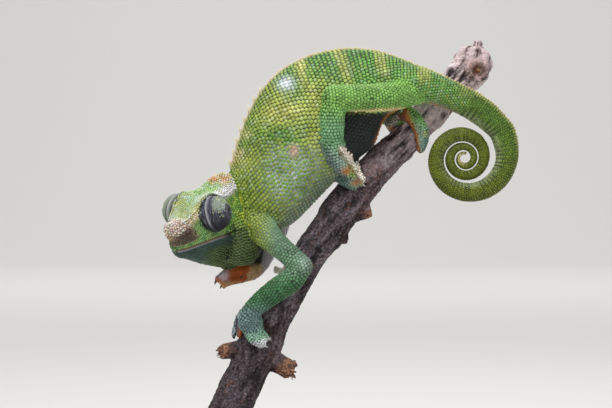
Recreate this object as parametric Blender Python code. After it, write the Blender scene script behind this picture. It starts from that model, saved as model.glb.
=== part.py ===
# A Fischer's chameleon, life size and still, climbing head down along a short cut branch.
# The branch is the perch, and a rod on a flat base holds it up.
#
# Units are metres with +Z up. The origin is the centre of the base's underside.
# The animal faces -X with its left side towards -Y, and its head is turned further that way.
# Outlines are places on the picture grid: columns run right and rows run down, one unit of
# the grid is GRID metres in the plane Y = 0, and depth is the distance behind that plane.

import math
import random

import bmesh
import bpy
from mathutils import Matrix, Vector

MM = 0.001

# The picture grid and the eye that looks along +Y at its middle
GRID = 0.30 * MM
GRID_MIDDLE = (306.0, 204.0)
GRID_MIDDLE_HEIGHT = 106.2 * MM
EYE_DISTANCE = 620.0 * MM

# Fits
GAP = 0.3 * MM            # between solids that touch
HALF_GAP = GAP / 2

# Stand
BASE_LENGTH = 122 * MM
BASE_WIDTH = 84 * MM
BASE_HEIGHT = 8 * MM
BASE_CORNER = 12 * MM
BASE_EDGE = 1.2 * MM
ROD_RADIUS = 3.0 * MM
ROD_FOOT_RADIUS = 7.0 * MM
ROD_FOOT_HEIGHT = 2.5 * MM
ROD_FOOT_SLOPE = 0.8 * MM
ROD_SIDES = 20

# Perch: row, column and depth in mm of the axis, radius in mm. Its foot is cut level.
PERCH_CUT_HEIGHT = 36 * MM
CUT_BLOCK = 60 * MM        # side of the cube that cuts it
PERCH_SIDES = 14
PERCH = [
    (50, 478.5, 16.2, 2.6),
    (54, 477.0, 15.8, 4.8),
    (61, 474.0, 15.0, 5.8),
    (70, 468.5, 13.9, 5.9),
    (80, 460.5, 12.9, 5.6),
    (92, 450.0, 11.8, 5.1),
    (108, 434.5, 10.0, 5.0),
    (126, 418.0, 7.8, 4.9),
    (143, 402.0, 5.6, 4.9),
    (155, 389.0, 4.4, 5.0),
    (175, 370.0, 2.4, 5.2),
    (195, 353.0, 1.0, 5.5),
    (212, 340.0, 0.2, 5.7),
    (231, 328.0, 0.0, 5.6),
    (246, 316.0, 0.0, 5.2),
    (262, 305.0, 0.0, 5.1),
    (300, 284.0, 0.0, 5.2),
    (320, 273.0, 0.0, 5.3),
    (336, 264.5, 0.0, 6.1),
    (350, 257.5, 0.0, 6.6),
    (366, 250.0, 0.0, 6.1),
    (385, 241.0, 0.0, 6.1),
    (408, 231.0, 0.0, 6.3),
    (450, 213.0, 0.0, 6.3),
]

# Broken side twigs: row on the axis they grow from; column, row and depth of the tip in mm;
# radius at the root and the tip in mm
TWIGS = [
    ("end_nub", 55, 477.5, 41.5, 15.4, 2.8, 1.2),
    ("cut_knot", 66, 479.0, 70.0, 8.0, 3.0, 2.2),
    ("upper_stub", 345, 217.0, 355.0, -2.0, 3.2, 1.1),
    ("lower_stub", 352, 299.0, 374.0, -1.0, 3.6, 0.8),
    ("dry_twig", 276, 274.5, 269.0, 2.0, 1.3, 0.8),
    ("right_bud", 218, 372.0, 208.0, 0.0, 3.2, 1.5),
    ("lower_bud", 234, 349.0, 237.0, 1.0, 3.0, 1.4),
]

# Trunk: column and row on the back, column and row on the belly, half width in mm, keel
TRUNK = [
    (231.0, 168.0, 266.0, 243.0, 6.4, 0.12),
    (238.5, 143.0, 279.0, 232.0, 7.6, 0.18),
    (248.5, 115.0, 296.0, 221.0, 8.6, 0.24),
    (264.0, 88.0, 316.0, 201.0, 9.2, 0.28),
    (287.0, 67.0, 335.0, 181.0, 9.2, 0.30),
    (315.0, 54.5, 357.0, 160.0, 8.6, 0.30),
    (345.0, 49.2, 374.0, 145.0, 7.6, 0.28),
    (372.0, 50.5, 383.0, 122.0, 6.7, 0.24),
    (395.0, 56.5, 397.0, 110.5, 6.2, 0.18),
    (415.0, 64.5, 413.0, 102.0, 5.4, 0.16),
]

# Tail before the coil, given like the trunk
TAIL = [
    (430.0, 70.0, 425.0, 103.0, 4.8, 0.14),
    (447.0, 77.5, 438.0, 106.5, 4.3, 0.12),
    (463.0, 85.5, 451.0, 111.5, 4.0, 0.10),
    (478.0, 93.0, 463.0, 117.0, 3.8, 0.10),
    (492.0, 102.5, 474.0, 124.0, 3.6, 0.10),
    (505.0, 115.5, 484.0, 131.5, 3.5, 0.10),
    (515.0, 130.0, 491.5, 140.0, 3.4, 0.10),
]

# Coil: its centre on the grid, then radius and half height of the tail at each quarter turn,
# starting at the right and winding down, left and up
COIL_CENTRE = (464.7, 158.0)
COIL = [
    (42.4, 11.4), (34.2, 9.5), (29.2, 7.3), (24.1, 6.9), (19.3, 5.6), (17.6, 4.9),
    (15.2, 4.8), (12.0, 3.6), (8.7, 3.4), (8.0, 3.2), (6.4, 2.4), (5.2, 1.6),
]
COIL_STATIONS_PER_QUARTER = 3
COIL_KEEL = 0.10
COIL_WIDTH_SHARE = 0.92    # half width of the coiled tail over its half height

# Nodes of the trunk and tail, as stretches between stations
TAIL_SPLITS = {"tail_base": (9.0, 14.0), "tail_bend": (14.0, 21.0)}
COIL_SPLIT = 31.0

# Head: its middle between the eyes, then how far it is turned, bowed and tilted
HEAD_MIDDLE = (196.5, 211.5)
HEAD_DEPTH = -10.0 * MM
HEAD_YAW = math.radians(52)
HEAD_PITCH = math.radians(25)
HEAD_ROLL = math.radians(4)

# Lines that run along the head from nape to snout: forward, left and up of its middle, in mm
HEAD_LINES = {
    "crown": [(-17.6, 0.0, 3.0), (-16.6, 0.0, 5.0), (-13.0, 0.0, 6.1), (-6.5, 0.0, 4.6),
              (-0.5, 0.0, 3.7), (5.0, 0.0, 2.6), (9.5, 0.0, 1.9), (12.2, 0.0, 1.0),
              (13.0, 0.0, -0.7)],
    "brow": [(-17.6, 1.2, 2.4), (-16.6, 2.2, 3.7), (-13.0, 3.3, 4.5), (-6.5, 4.0, 4.1),
             (-0.5, 4.6, 5.4), (4.0, 4.6, 3.4), (9.0, 3.3, 1.3), (11.8, 2.7, 0.6),
             (13.0, 1.4, -0.9)],
    "orbit_roof": [(-17.6, 1.8, 1.2), (-16.6, 3.6, 1.8), (-13.0, 5.2, 2.2), (-6.5, 6.1, 2.4),
                   (-0.5, 5.6, 4.3), (4.0, 5.0, 2.0), (9.0, 3.6, 0.0), (11.6, 3.2, -0.5),
                   (12.9, 1.8, -1.4)],
    "temple": [(-17.4, 2.4, -0.4), (-16.2, 4.2, -0.8), (-12.6, 5.9, -0.8), (-6.5, 6.2, -1.0),
               (-0.5, 5.4, -0.8), (4.5, 5.2, -1.2), (9.0, 3.8, -1.7), (11.8, 3.2, -1.9),
               (12.9, 1.8, -2.1)],
    "cheek": [(-17.2, 3.0, -4.0), (-16.0, 5.4, -4.6), (-12.4, 7.0, -4.8), (-6.3, 7.2, -5.0),
              (-0.3, 6.4, -4.8), (4.8, 5.1, -4.4), (9.4, 3.7, -4.1), (11.8, 2.6, -4.0),
              (12.4, 1.2, -3.8)],
    "upper_lip": [(-17.0, 3.2, -8.2), (-15.8, 5.6, -8.8), (-12.0, 7.4, -9.2), (-6.0, 7.6, -8.7),
                  (0.0, 6.9, -7.5), (5.0, 5.6, -6.9), (9.5, 4.1, -6.4), (12.0, 2.4, -6.3),
                  (13.0, 0.9, -6.3)],
    "mouth": [(-17.0, 3.2, -8.8), (-15.8, 5.6, -9.4), (-12.0, 7.2, -9.9), (-6.0, 6.9, -9.3),
              (0.0, 6.2, -8.1), (5.0, 4.9, -7.5), (9.5, 3.5, -7.0), (12.0, 1.9, -6.9),
              (12.6, 0.8, -6.9)],
    "lower_lip": [(-17.0, 3.2, -9.4), (-15.8, 5.6, -10.0), (-12.0, 7.4, -10.6), (-6.0, 7.5, -9.9),
                  (0.0, 6.7, -8.7), (5.0, 5.3, -8.1), (9.5, 3.8, -7.7), (12.0, 2.1, -7.6),
                  (12.6, 0.8, -7.6)],
    "jaw": [(-17.0, 3.2, -14.6), (-15.8, 5.6, -16.4), (-12.0, 7.2, -16.8), (-6.0, 6.8, -15.4),
            (0.0, 5.8, -12.8), (5.0, 4.5, -10.9), (9.2, 3.2, -9.4), (11.4, 2.0, -8.8),
            (12.3, 0.7, -8.4)],
    "throat": [(-17.0, 2.4, -19.6), (-15.8, 3.8, -22.0), (-12.0, 4.6, -22.3), (-6.0, 4.4, -20.0),
               (0.0, 3.8, -16.4), (5.0, 2.8, -13.4), (9.2, 1.8, -10.8), (11.3, 1.1, -9.6),
               (12.2, 0.5, -8.9)],
    "gullet": [(-17.0, 0.0, -20.8), (-15.8, 0.0, -23.4), (-12.0, 0.0, -24.0), (-6.0, 0.0, -21.4),
               (0.0, 0.0, -17.6), (5.0, 0.0, -14.3), (9.2, 0.0, -11.1), (11.2, 0.0, -9.9),
               (12.1, 0.0, -9.1)],
}
HEAD_RINGS = 24
SOFT_BETWEEN = ("crown", "brow", "orbit_roof", "temple", "cheek", "jaw")   # rounded to the next

# Eyes: turret centre in the head's frame, its half sizes along and across its gaze
EYE_CENTRE = (-0.2 * MM, 7.1 * MM, -0.2 * MM)
EYE_ACROSS = 5.1 * MM
EYE_ALONG = 4.5 * MM
EYE_SEGMENTS = 18
GAZE_LEFT = (0.90, -0.38, 0.20)
GAZE_RIGHT = (-0.72, 0.62, 0.12)
NOSTRIL = (7.6 * MM, 4.5 * MM, -2.9 * MM)
NOSTRIL_RADIUS = 0.55 * MM

# Neck: column, row and depth of its top and underside, half width in mm, turn in degrees
NECK = [
    (231.0, 168.0, 0.0, 266.0, 243.0, 0.0, 6.4, 0.0),
    (228.5, 177.0, 0.6, 254.0, 262.0, -1.0, 6.3, 16.0),
    (223.0, 187.5, -1.5, 240.0, 266.0, -4.5, 6.3, 32.0),
    (217.0, 196.0, -4.2, 227.0, 261.0, -7.4, 5.6, 46.0),
]
NECK_KEEL = 0.12
NECK_RINGS = 8
NECK_SIDES = 20

# Legs: column, row, depth in mm, half thickness across the leg and along the depth in mm.
# The lower leg starts in the ball that ends the upper one and runs on into the palm.
LEGS = {
    "foreleg_left": {
        "upper": [(252.0, 214.0, -2.0, 4.4, 3.8), (262.0, 229.0, -5.2, 4.4, 3.6),
                  (275.0, 242.5, -7.8, 3.7, 3.4), (288.0, 254.0, -10.0, 3.3, 3.1),
                  (301.5, 267.0, -11.4, 3.6, 3.4)],
        "lower": [(301.0, 270.0, -11.4, 2.9, 2.8), (291.5, 280.0, -11.2, 3.6, 3.3),
                  (278.0, 289.0, -10.5, 3.6, 3.2), (264.5, 299.0, -9.8, 3.3, 3.0),
                  (254.0, 308.0, -9.0, 2.9, 2.8), (249.0, 315.5, -8.0, 2.9, 2.8),
                  (247.5, 324.0, -6.6, 2.9, 2.8)],
        "wrist": 4.6},
    "foreleg_right": {
        "upper": [(252.0, 231.0, 2.0, 4.2, 4.0), (262.0, 224.0, 6.5, 3.8, 3.6),
                  (272.0, 216.5, 10.5, 3.4, 3.2), (281.0, 210.5, 14.0, 3.5, 3.4)],
        "lower": [(280.8, 213.0, 14.2, 2.8, 2.7), (279.0, 225.0, 14.2, 3.3, 3.1),
                  (273.0, 239.0, 12.4, 3.2, 3.0), (266.0, 254.0, 9.8, 2.9, 2.7),
                  (260.0, 265.0, 7.6, 2.7, 2.5), (252.5, 272.0, 6.0, 2.6, 2.4),
                  (243.0, 275.0, 4.6, 2.5, 2.2)],
        "wrist": 4.3},
    "hindleg_left": {
        "upper": [(401.0, 91.0, -1.5, 3.8, 3.4), (388.0, 97.0, -6.0, 4.1, 3.8),
                  (372.0, 98.0, -9.0, 4.0, 3.8), (355.0, 98.0, -10.6, 4.0, 3.8),
                  (334.5, 98.5, -11.8, 4.2, 4.0)],
        "lower": [(333.2, 103.0, -11.9, 3.3, 3.2), (332.3, 115.0, -12.0, 3.8, 3.6),
                  (332.3, 130.0, -11.4, 3.5, 3.3), (333.0, 144.0, -10.2, 3.3, 3.1),
                  (336.0, 154.0, -8.6, 3.1, 3.0), (341.5, 162.0, -6.4, 3.0, 3.0),
                  (348.0, 168.5, -4.0, 2.7, 2.8)],
        "wrist": 4.2},
    "hindleg_right": {
        "upper": [(400.0, 90.0, 2.0, 3.8, 3.6), (389.0, 96.0, 7.2, 3.8, 3.6),
                  (377.0, 103.0, 11.6, 3.6, 3.4), (367.0, 109.0, 14.4, 3.5, 3.4)],
        "lower": [(369.5, 111.5, 14.6, 2.7, 2.6), (379.0, 115.0, 14.0, 2.9, 2.8),
                  (390.0, 115.5, 12.0, 2.8, 2.7), (399.0, 116.0, 9.4, 2.8, 2.8),
                  (404.5, 119.0, 6.4, 2.7, 2.7)],
        "wrist": 2.9},
}
LEG_SIDES = 14
ROUND_END = (35, 62, 82)    # degrees at which a rounded end has its rings

CLAW_POINT = 0.05 * MM

# Toes that grip the perch. Each bundle: toes, first row and last row of its middle toe,
# first and last angle round the perch (0 faces -Y, 90 is its upper left), toe radius at the
# root and near the tip in mm, and how many rows apart the toes lie at the root and the tip
GRIPS = {
    "forefoot_left": [
        (2, 319, 339, 64, -20, 2.4, 1.45, 5.5, 8.0),
        (3, 320, 337, 88, 196, 1.9, 1.2, 4.5, 4.5),
    ],
    "hindfoot_left": [
        (3, 184, 182, 62, 4, 2.0, 1.15, 3.4, 2.8),
        (2, 185, 184, 70, 190, 2.0, 1.2, 4.0, 3.4),
    ],
    "hindfoot_right": [
        (3, 124, 138, 66, -66, 1.9, 1.2, 3.6, 3.6),
        (2, 136, 140, 92, 196, 1.9, 1.2, 4.0, 3.6),
    ],
}
# Toes of the raised hand: bundle points as column, row, depth; toe radii; spread in mm
FREE_TOES = [
    ([(249, 273, 5.6), (238, 271, 4.0), (226, 273, 2.2), (217, 278.5, 1.4)], 3, 1.55, 1.15, 1.5),
    ([(249, 276, 5.6), (240, 279.5, 3.6), (231, 281.5, 1.6), (223, 283.0, 0.2)], 2, 1.6, 1.2, 1.6),
]
TOE_SIDES = 7
TOE_RINGS = 6
# Claw: how far ahead of the toe's end and below it each ring lies, and its radius, all as
# shares of the toe's last radius
CLAW = [(0.55, 0.0, 0.86), (0.95, 0.05, 0.5), (1.3, 0.12, 0.36), (1.9, 0.42, 0.06)]

# Crest: spines stand on the back, leaning towards the tail
CREST_SEED = 7
SPINE_LEAN = math.radians(38)
SPINE_ROOT = 0.55 * MM
TALL_SPINE = {"from": 0.12, "to": 3.1, "pitch": 1.45 * MM, "height": 1.7 * MM, "radius": 0.50 * MM}
LOW_SPINE = {"from": 3.2, "to": 8.9, "pitch": 1.75 * MM, "height": 0.55 * MM, "radius": 0.48 * MM}
TAIL_SPINE = {"from": 9.15, "to": 15.4, "pitch": 2.0 * MM, "height": 0.50 * MM, "radius": 0.45 * MM}

COLOURS = {
    "head": (0.36, 0.46, 0.16), "neck": (0.36, 0.48, 0.10), "torso": (0.30, 0.46, 0.12),
    "tail": (0.26, 0.42, 0.08), "leg": (0.18, 0.44, 0.20), "foot": (0.30, 0.42, 0.30),
    "eye": (0.32, 0.32, 0.40), "bark": (0.20, 0.15, 0.14), "rod": (0.55, 0.55, 0.56),
    "base": (0.03, 0.03, 0.03),
}


def place(column, row, depth=0.0):
    """World position of a place on the picture grid, with its depth in metres."""
    spread = GRID * (EYE_DISTANCE + depth) / EYE_DISTANCE
    return Vector(((column - GRID_MIDDLE[0]) * spread, depth,
                   GRID_MIDDLE_HEIGHT + (GRID_MIDDLE[1] - row) * spread))


def follow(rows, x):
    """The values beside x in rows sorted by their first value, on a smooth curve."""
    x = min(max(x, rows[0][0]), rows[-1][0])
    i = 0
    while i < len(rows) - 2 and x > rows[i + 1][0]:
        i += 1

    def slope(k):
        a = rows[max(k - 1, 0)]
        b = rows[min(k + 1, len(rows) - 1)]
        return [(q - p) / (b[0] - a[0]) for p, q in zip(a[1:], b[1:])]

    left, right = rows[i], rows[i + 1]
    span = right[0] - left[0]
    t = (x - left[0]) / span
    h = (2 * t**3 - 3 * t**2 + 1, t**3 - 2 * t**2 + t, 3 * t**2 - 2 * t**3, t**3 - t**2)
    return [h[0] * p + h[1] * span * m + h[2] * q + h[3] * span * n
            for p, q, m, n in zip(left[1:], right[1:], slope(i), slope(i + 1))]


def numbered(rows):
    return [(float(i), *row) for i, row in enumerate(rows)]


def new_object(name, mesh, collection):
    obj = bpy.data.objects.new(name, mesh)
    collection.objects.link(obj)
    return obj


def loft(name, rings, collection):
    """A closed skin over rings of points, with a fan over each end."""
    bm = bmesh.new()
    loops = [[bm.verts.new(point) for point in ring] for ring in rings]
    count = len(loops[0])
    for low, high in zip(loops, loops[1:]):
        for k in range(count):
            n = (k + 1) % count
            bm.faces.new((low[k], low[n], high[n], high[k]))
    for loop in (loops[0], loops[-1]):
        middle = bm.verts.new(sum((v.co for v in loop), Vector()) / count)
        for k in range(count):
            bm.faces.new((middle, loop[k], loop[(k + 1) % count]))
    bmesh.ops.recalc_face_normals(bm, faces=bm.faces)
    mesh = bpy.data.meshes.new(name)
    bm.to_mesh(mesh)
    bm.free()
    mesh.shade_smooth()
    mesh.set_sharp_from_angle(angle=math.radians(50))
    return new_object(name, mesh, collection)


def evaluated_copy(obj):
    return bpy.data.meshes.new_from_object(obj.evaluated_get(bpy.context.evaluated_depsgraph_get()))


def keep_largest(mesh):
    """Drop every closed surface of the mesh but the one with the most volume."""
    bm = bmesh.new()
    bm.from_mesh(mesh)
    unseen = set(bm.faces)
    shells = []
    while unseen:
        shell = set()
        edge_of_growth = [next(iter(unseen))]
        while edge_of_growth:
            face = edge_of_growth.pop()
            if face in shell:
                continue
            shell.add(face)
            edge_of_growth += [n for e in face.edges for n in e.link_faces if n not in shell]
        unseen -= shell
        shells.append(shell)
    if len(shells) > 1:
        shells.sort(key=lambda shell: -sum(face.calc_area() for face in shell))
        loose = [face for shell in shells[1:] for face in shell]
        bmesh.ops.delete(bm, geom=loose, context="FACES")
    bm.to_mesh(mesh)
    bm.free()


def combine(target, operation, others):
    """Boolean of the target with a set of objects, applied; the others are removed."""
    helpers = bpy.data.collections.new("helpers")
    bpy.context.scene.collection.children.link(helpers)
    for other in others:
        for owner in list(other.users_collection):
            owner.objects.unlink(other)
        helpers.objects.link(other)
    modifier = target.modifiers.new(operation.lower(), "BOOLEAN")
    modifier.operation = operation
    modifier.operand_type = "COLLECTION"
    modifier.collection = helpers
    modifier.solver = "EXACT"
    modifier.use_self = True
    mesh = evaluated_copy(target)
    target.modifiers.clear()
    target.data = mesh
    keep_largest(mesh)
    for other in others:
        bpy.data.objects.remove(other)
    bpy.data.collections.remove(helpers)


def grown(obj, amount, collection):
    """A copy of the object whose surface stands out by the amount."""
    mesh = obj.data.copy()
    bm = bmesh.new()
    bm.from_mesh(mesh)
    bm.normal_update()
    for vertex, normal in [(v, v.normal.copy()) for v in bm.verts]:
        vertex.co += normal * amount
    bm.to_mesh(mesh)
    bm.free()
    return new_object(obj.name + "_room", mesh, collection)


def carve(target, neighbours, collection):
    """Cut the target back to a gap from each neighbour."""
    for neighbour in neighbours:
        combine(target, "DIFFERENCE", [grown(neighbour, GAP, collection)])


def finish(obj, colour, roughness=0.55, metallic=0.0):
    material = bpy.data.materials.new(obj.name + "_material")
    material.use_nodes = True
    shader = material.node_tree.nodes["Principled BSDF"]
    shader.inputs["Base Color"].default_value = (*colour, 1.0)
    shader.inputs["Roughness"].default_value = roughness
    shader.inputs["Metallic"].default_value = metallic
    obj.data.materials.clear()
    obj.data.materials.append(material)


# Trunk and tail

def coil_stations():
    """The coiled tail as trunk stations: its outer edge, its inner edge, half width, keel."""
    quarters = numbered(COIL)
    count = (len(COIL) - 1) * COIL_STATIONS_PER_QUARTER
    stations = []
    for i in range(count + 1):
        quarter = i / COIL_STATIONS_PER_QUARTER
        radius, half_height = follow(quarters, quarter)
        turn = quarter * math.pi / 2
        toward = (math.cos(turn), math.sin(turn))
        outer = [c + (radius + half_height) * d for c, d in zip(COIL_CENTRE, toward)]
        inner = [c + (radius - half_height) * d for c, d in zip(COIL_CENTRE, toward)]
        half_width = half_height * GRID / MM * COIL_WIDTH_SHARE
        stations.append((*outer, *inner, half_width, COIL_KEEL))
    return stations


SPINE = numbered(TRUNK + TAIL + coil_stations())
LAST_STATION = SPINE[-1][0]


def spine_section(station):
    """Centre, half height vector, half width and keel of the trunk or tail."""
    back_column, back_row, belly_column, belly_row, half_width, keel = follow(SPINE, station)
    back = place(back_column, back_row)
    belly = place(belly_column, belly_row)
    return (back + belly) / 2, (back - belly) / 2, half_width * MM, keel


def oval(centre, up, side, keel, sides):
    """A ring of points, narrower towards its top as the keel says."""
    ring = []
    for k in range(sides):
        angle = 2 * math.pi * k / sides
        width = math.sin(angle) * (1 - keel * math.cos(angle))
        ring.append(centre + up * math.cos(angle) + side * width)
    return ring


def spine_stretch(name, first, last, rings, sides, collection):
    """The trunk or tail between two stations, short of them by half a gap."""
    def inset(station, step):
        run = (spine_section(station + step)[0] - spine_section(station)[0]).length
        return station + step * HALF_GAP / run

    nudge = 0.02
    start = inset(first, nudge)
    end = inset(last, -nudge) if last < LAST_STATION else last
    loops = []
    for i in range(rings):
        centre, up, half_width, keel = spine_section(start + (end - start) * i / (rings - 1))
        loops.append(oval(centre, up, Vector((0, -half_width, 0)), keel, sides))
    return loft(name, loops, collection)


def spines(kind, draw, collection):
    """A row of leaning cones along the back between two stations."""
    made = []
    station = kind["from"]
    while station < kind["to"]:
        centre, up, half_width, keel = spine_section(station)
        ahead_centre, ahead_up, _, _ = spine_section(station + 0.05)
        along = (ahead_centre + ahead_up - centre - up).normalized()
        across = Vector((0, -1, 0))
        out = along.cross(across).normalized()
        if out.dot(up) < 0:
            out = -out
        lean = SPINE_LEAN + draw.uniform(-0.15, 0.15)
        height = kind["height"] * draw.uniform(0.65, 1.1)
        direction = out * math.cos(lean) + along * math.sin(lean)
        length = height + SPINE_ROOT
        bm = bmesh.new()
        bmesh.ops.create_cone(bm, cap_ends=True, segments=5, radius1=kind["radius"],
                              radius2=0.04 * MM, depth=length)
        turn = Vector((0, 0, 1)).rotation_difference(direction).to_matrix().to_4x4()
        middle = centre + up + direction * (length / 2 - SPINE_ROOT)
        bmesh.ops.transform(bm, matrix=Matrix.Translation(middle) @ turn, verts=bm.verts)
        mesh = bpy.data.meshes.new("spine")
        bm.to_mesh(mesh)
        bm.free()
        made.append(new_object("spine", mesh, collection))
        pace = (ahead_centre + ahead_up - centre - up).length / 0.05
        station += kind["pitch"] * draw.uniform(0.9, 1.1) / pace
    return made


def make_trunk_and_tail(parts, cutters):
    draw = random.Random(CREST_SEED)
    torso = spine_stretch("torso", 0.0, 9.0, 26, 20, parts)
    plain_torso = spine_stretch("torso_plain", 0.0, 9.0, 26, 20, cutters)
    crest = spines(TALL_SPINE, draw, cutters) + spines(LOW_SPINE, draw, cutters)
    combine(torso, "UNION", crest)
    tail_base = spine_stretch("tail_base", *TAIL_SPLITS["tail_base"], 12, 16, parts)
    combine(tail_base, "UNION", spines(TAIL_SPINE, draw, cutters)[:-4])
    bend = spine_stretch("tail_bend", *TAIL_SPLITS["tail_bend"], 18, 14, parts)
    outer = spine_stretch("tail_coil_outer", TAIL_SPLITS["tail_bend"][1], COIL_SPLIT, 22, 12, parts)
    inner = spine_stretch("tail_coil_inner", COIL_SPLIT, LAST_STATION, 34, 10, parts)
    finish(torso, COLOURS["torso"])
    for part in (tail_base, bend, outer, inner):
        finish(part, COLOURS["tail"])
    return torso, plain_torso, tail_base


# Head, eyes and neck

def head_frame():
    """Matrix from the head's own frame (forward, left, up) to the world."""
    level = Vector((-math.cos(HEAD_YAW), -math.sin(HEAD_YAW), 0))
    left = Vector((math.sin(HEAD_YAW), -math.cos(HEAD_YAW), 0))
    upright = Vector((0, 0, 1))
    forward = level * math.cos(HEAD_PITCH) - upright * math.sin(HEAD_PITCH)
    up = upright * math.cos(HEAD_PITCH) + level * math.sin(HEAD_PITCH)
    tilted_left = left * math.cos(HEAD_ROLL) - up * math.sin(HEAD_ROLL)
    tilted_up = up * math.cos(HEAD_ROLL) + left * math.sin(HEAD_ROLL)
    middle = place(*HEAD_MIDDLE, HEAD_DEPTH)
    frame = Matrix((forward, tilted_left, tilted_up)).transposed().to_4x4()
    return Matrix.Translation(middle) @ frame


def head_ring(share, frame):
    """Points round the head at a share of the way from nape to snout."""
    names = list(HEAD_LINES)
    half = []
    for line in HEAD_LINES.values():
        rows = [(i / (len(line) - 1), *[value * MM for value in point])
                for i, point in enumerate(line)]
        half.append(Vector(follow(rows, share)))

    def mirrored(p):
        return Vector((p.x, -p.y, p.z))

    left = []
    for k, (name, point) in enumerate(zip(names, half)):
        left.append(point)
        if name in SOFT_BETWEEN:
            before = half[k - 1] if k else mirrored(half[1])
            left.append((9 * (point + half[k + 1]) - before - half[k + 2]) / 16)
    right = [mirrored(p) for p in left[-2:0:-1]]
    return [frame @ p for p in left + right]


def make_turret(name, centre, gaze, collection):
    """An eye turret: a ball with folds round a small lidded opening, spun about its gaze."""
    profile = [(0.0, 1.00), (0.10, 0.97), (0.20, 1.02), (0.30, 0.96), (0.42, 0.92), (0.52, 0.84),
               (0.70, 0.72), (0.84, 0.54), (0.94, 0.30), (1.00, 0.0), (0.94, -0.35), (0.80, -0.62),
               (0.55, -0.85), (0.0, -1.0)]
    bm = bmesh.new()
    outline = [bm.verts.new((x * EYE_ACROSS, 0, z * EYE_ALONG)) for x, z in profile]
    edges = [bm.edges.new(pair) for pair in zip(outline, outline[1:])]
    bmesh.ops.spin(bm, geom=outline + edges, cent=(0, 0, 0), axis=(0, 0, 1),
                   angle=2 * math.pi, steps=EYE_SEGMENTS, use_merge=True)
    bmesh.ops.remove_doubles(bm, verts=bm.verts, dist=0.01 * MM)
    bmesh.ops.recalc_face_normals(bm, faces=bm.faces)
    turn = Vector((0, 0, 1)).rotation_difference(Vector(gaze).normalized()).to_matrix().to_4x4()
    bmesh.ops.transform(bm, matrix=Matrix.Translation(centre) @ turn, verts=bm.verts)
    mesh = bpy.data.meshes.new(name)
    bm.to_mesh(mesh)
    bm.free()
    mesh.shade_smooth()
    return new_object(name, mesh, collection)


def make_head(parts, cutters):
    frame = head_frame()
    rings = [head_ring(i / (HEAD_RINGS - 1), frame) for i in range(HEAD_RINGS)]
    head = loft("head", rings, parts)
    plain_head = loft("head_plain", rings, cutters)
    x, y, z = EYE_CENTRE
    eyes = [make_turret("eye_left", frame @ Vector((x, y, z)), GAZE_LEFT, parts),
            make_turret("eye_right", frame @ Vector((x, -y, z)), GAZE_RIGHT, parts)]
    carve(head, eyes, cutters)
    for side in (1, -1):
        bm = bmesh.new()
        bmesh.ops.create_icosphere(bm, subdivisions=1, radius=NOSTRIL_RADIUS)
        spot = frame @ Vector((NOSTRIL[0], side * NOSTRIL[1], NOSTRIL[2]))
        bmesh.ops.translate(bm, vec=spot, verts=bm.verts)
        mesh = bpy.data.meshes.new("nostril")
        bm.to_mesh(mesh)
        bm.free()
        combine(head, "DIFFERENCE", [new_object("nostril", mesh, cutters)])
    finish(head, COLOURS["head"])
    for eye in eyes:
        finish(eye, COLOURS["eye"], roughness=0.4)
    return plain_head, eyes


def make_neck(plain_head, parts, cutters):
    rows = numbered(NECK)
    rings = []
    for i in range(NECK_RINGS):
        station = (len(NECK) - 1) * i / (NECK_RINGS - 1)
        *top, top_depth, column, row, depth, half_width, turn = follow(rows, station)
        top = place(*top, top_depth * MM)
        bottom = place(column, row, depth * MM)
        turn = math.radians(turn)
        side = Vector((math.sin(turn), -math.cos(turn), 0)) * half_width * MM
        rings.append(oval((top + bottom) / 2, (top - bottom) / 2, side, NECK_KEEL, NECK_SIDES))
    ahead = (sum(rings[1], Vector()) - sum(rings[0], Vector())).normalized()
    rings[0] = [point + ahead * HALF_GAP for point in rings[0]]
    neck = loft("neck", rings, parts)
    carve(neck, [plain_head], cutters)
    finish(neck, COLOURS["neck"])
    return neck


# Perch

def perch_axis(row):
    """Centre and radius of the perch at a row of the grid."""
    column, depth, radius = follow(PERCH, row)
    return place(column, row, depth * MM), radius * MM


def perch_frame(row):
    """Centre, radius, direction down the perch and the normal to its upper left."""
    centre, radius = perch_axis(row)
    below, _ = perch_axis(row + 1)
    down = (below - centre).normalized()
    upper_left = Vector((0, -1, 0)).cross(down).normalized()
    if upper_left.x > 0:
        upper_left = -upper_left
    return centre, radius, down, upper_left


def round_place(row, angle, lift):
    """A place beside the perch, lifted off its bark, at an angle in degrees round it."""
    centre, radius, _, upper_left = perch_frame(row)
    out = Vector((0, -1, 0)) * math.cos(math.radians(angle))
    out += upper_left * math.sin(math.radians(angle))
    return centre + out * (radius + lift), out


def tube(name, centres, normals, thick, wide, sides, collection, rounded=(False, False)):
    """A closed tube; each ring is thick along its normal and wide across it."""
    rings = []
    last = len(centres) - 1
    for i, centre in enumerate(centres):
        along = (centres[min(i + 1, last)] - centres[max(i - 1, 0)]).normalized()
        normal = (normals[i] - along * normals[i].dot(along)).normalized()
        across = along.cross(normal)
        rings.append(oval(centre, normal * thick[i], across * wide[i], 0.0, sides))
        for end, outward in ((0, -along), (last, along)):
            if i == end and rounded[end > 0]:
                reach = (thick[i] + wide[i]) / 2
                cap = []
                for degrees in ROUND_END:
                    swing = math.radians(degrees)
                    cap.append(oval(centre + outward * reach * math.sin(swing),
                                    normal * thick[i] * math.cos(swing),
                                    across * wide[i] * math.cos(swing), 0.0, sides))
                rings = rings + cap if end else cap[::-1] + rings
    return loft(name, rings, collection)


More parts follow.
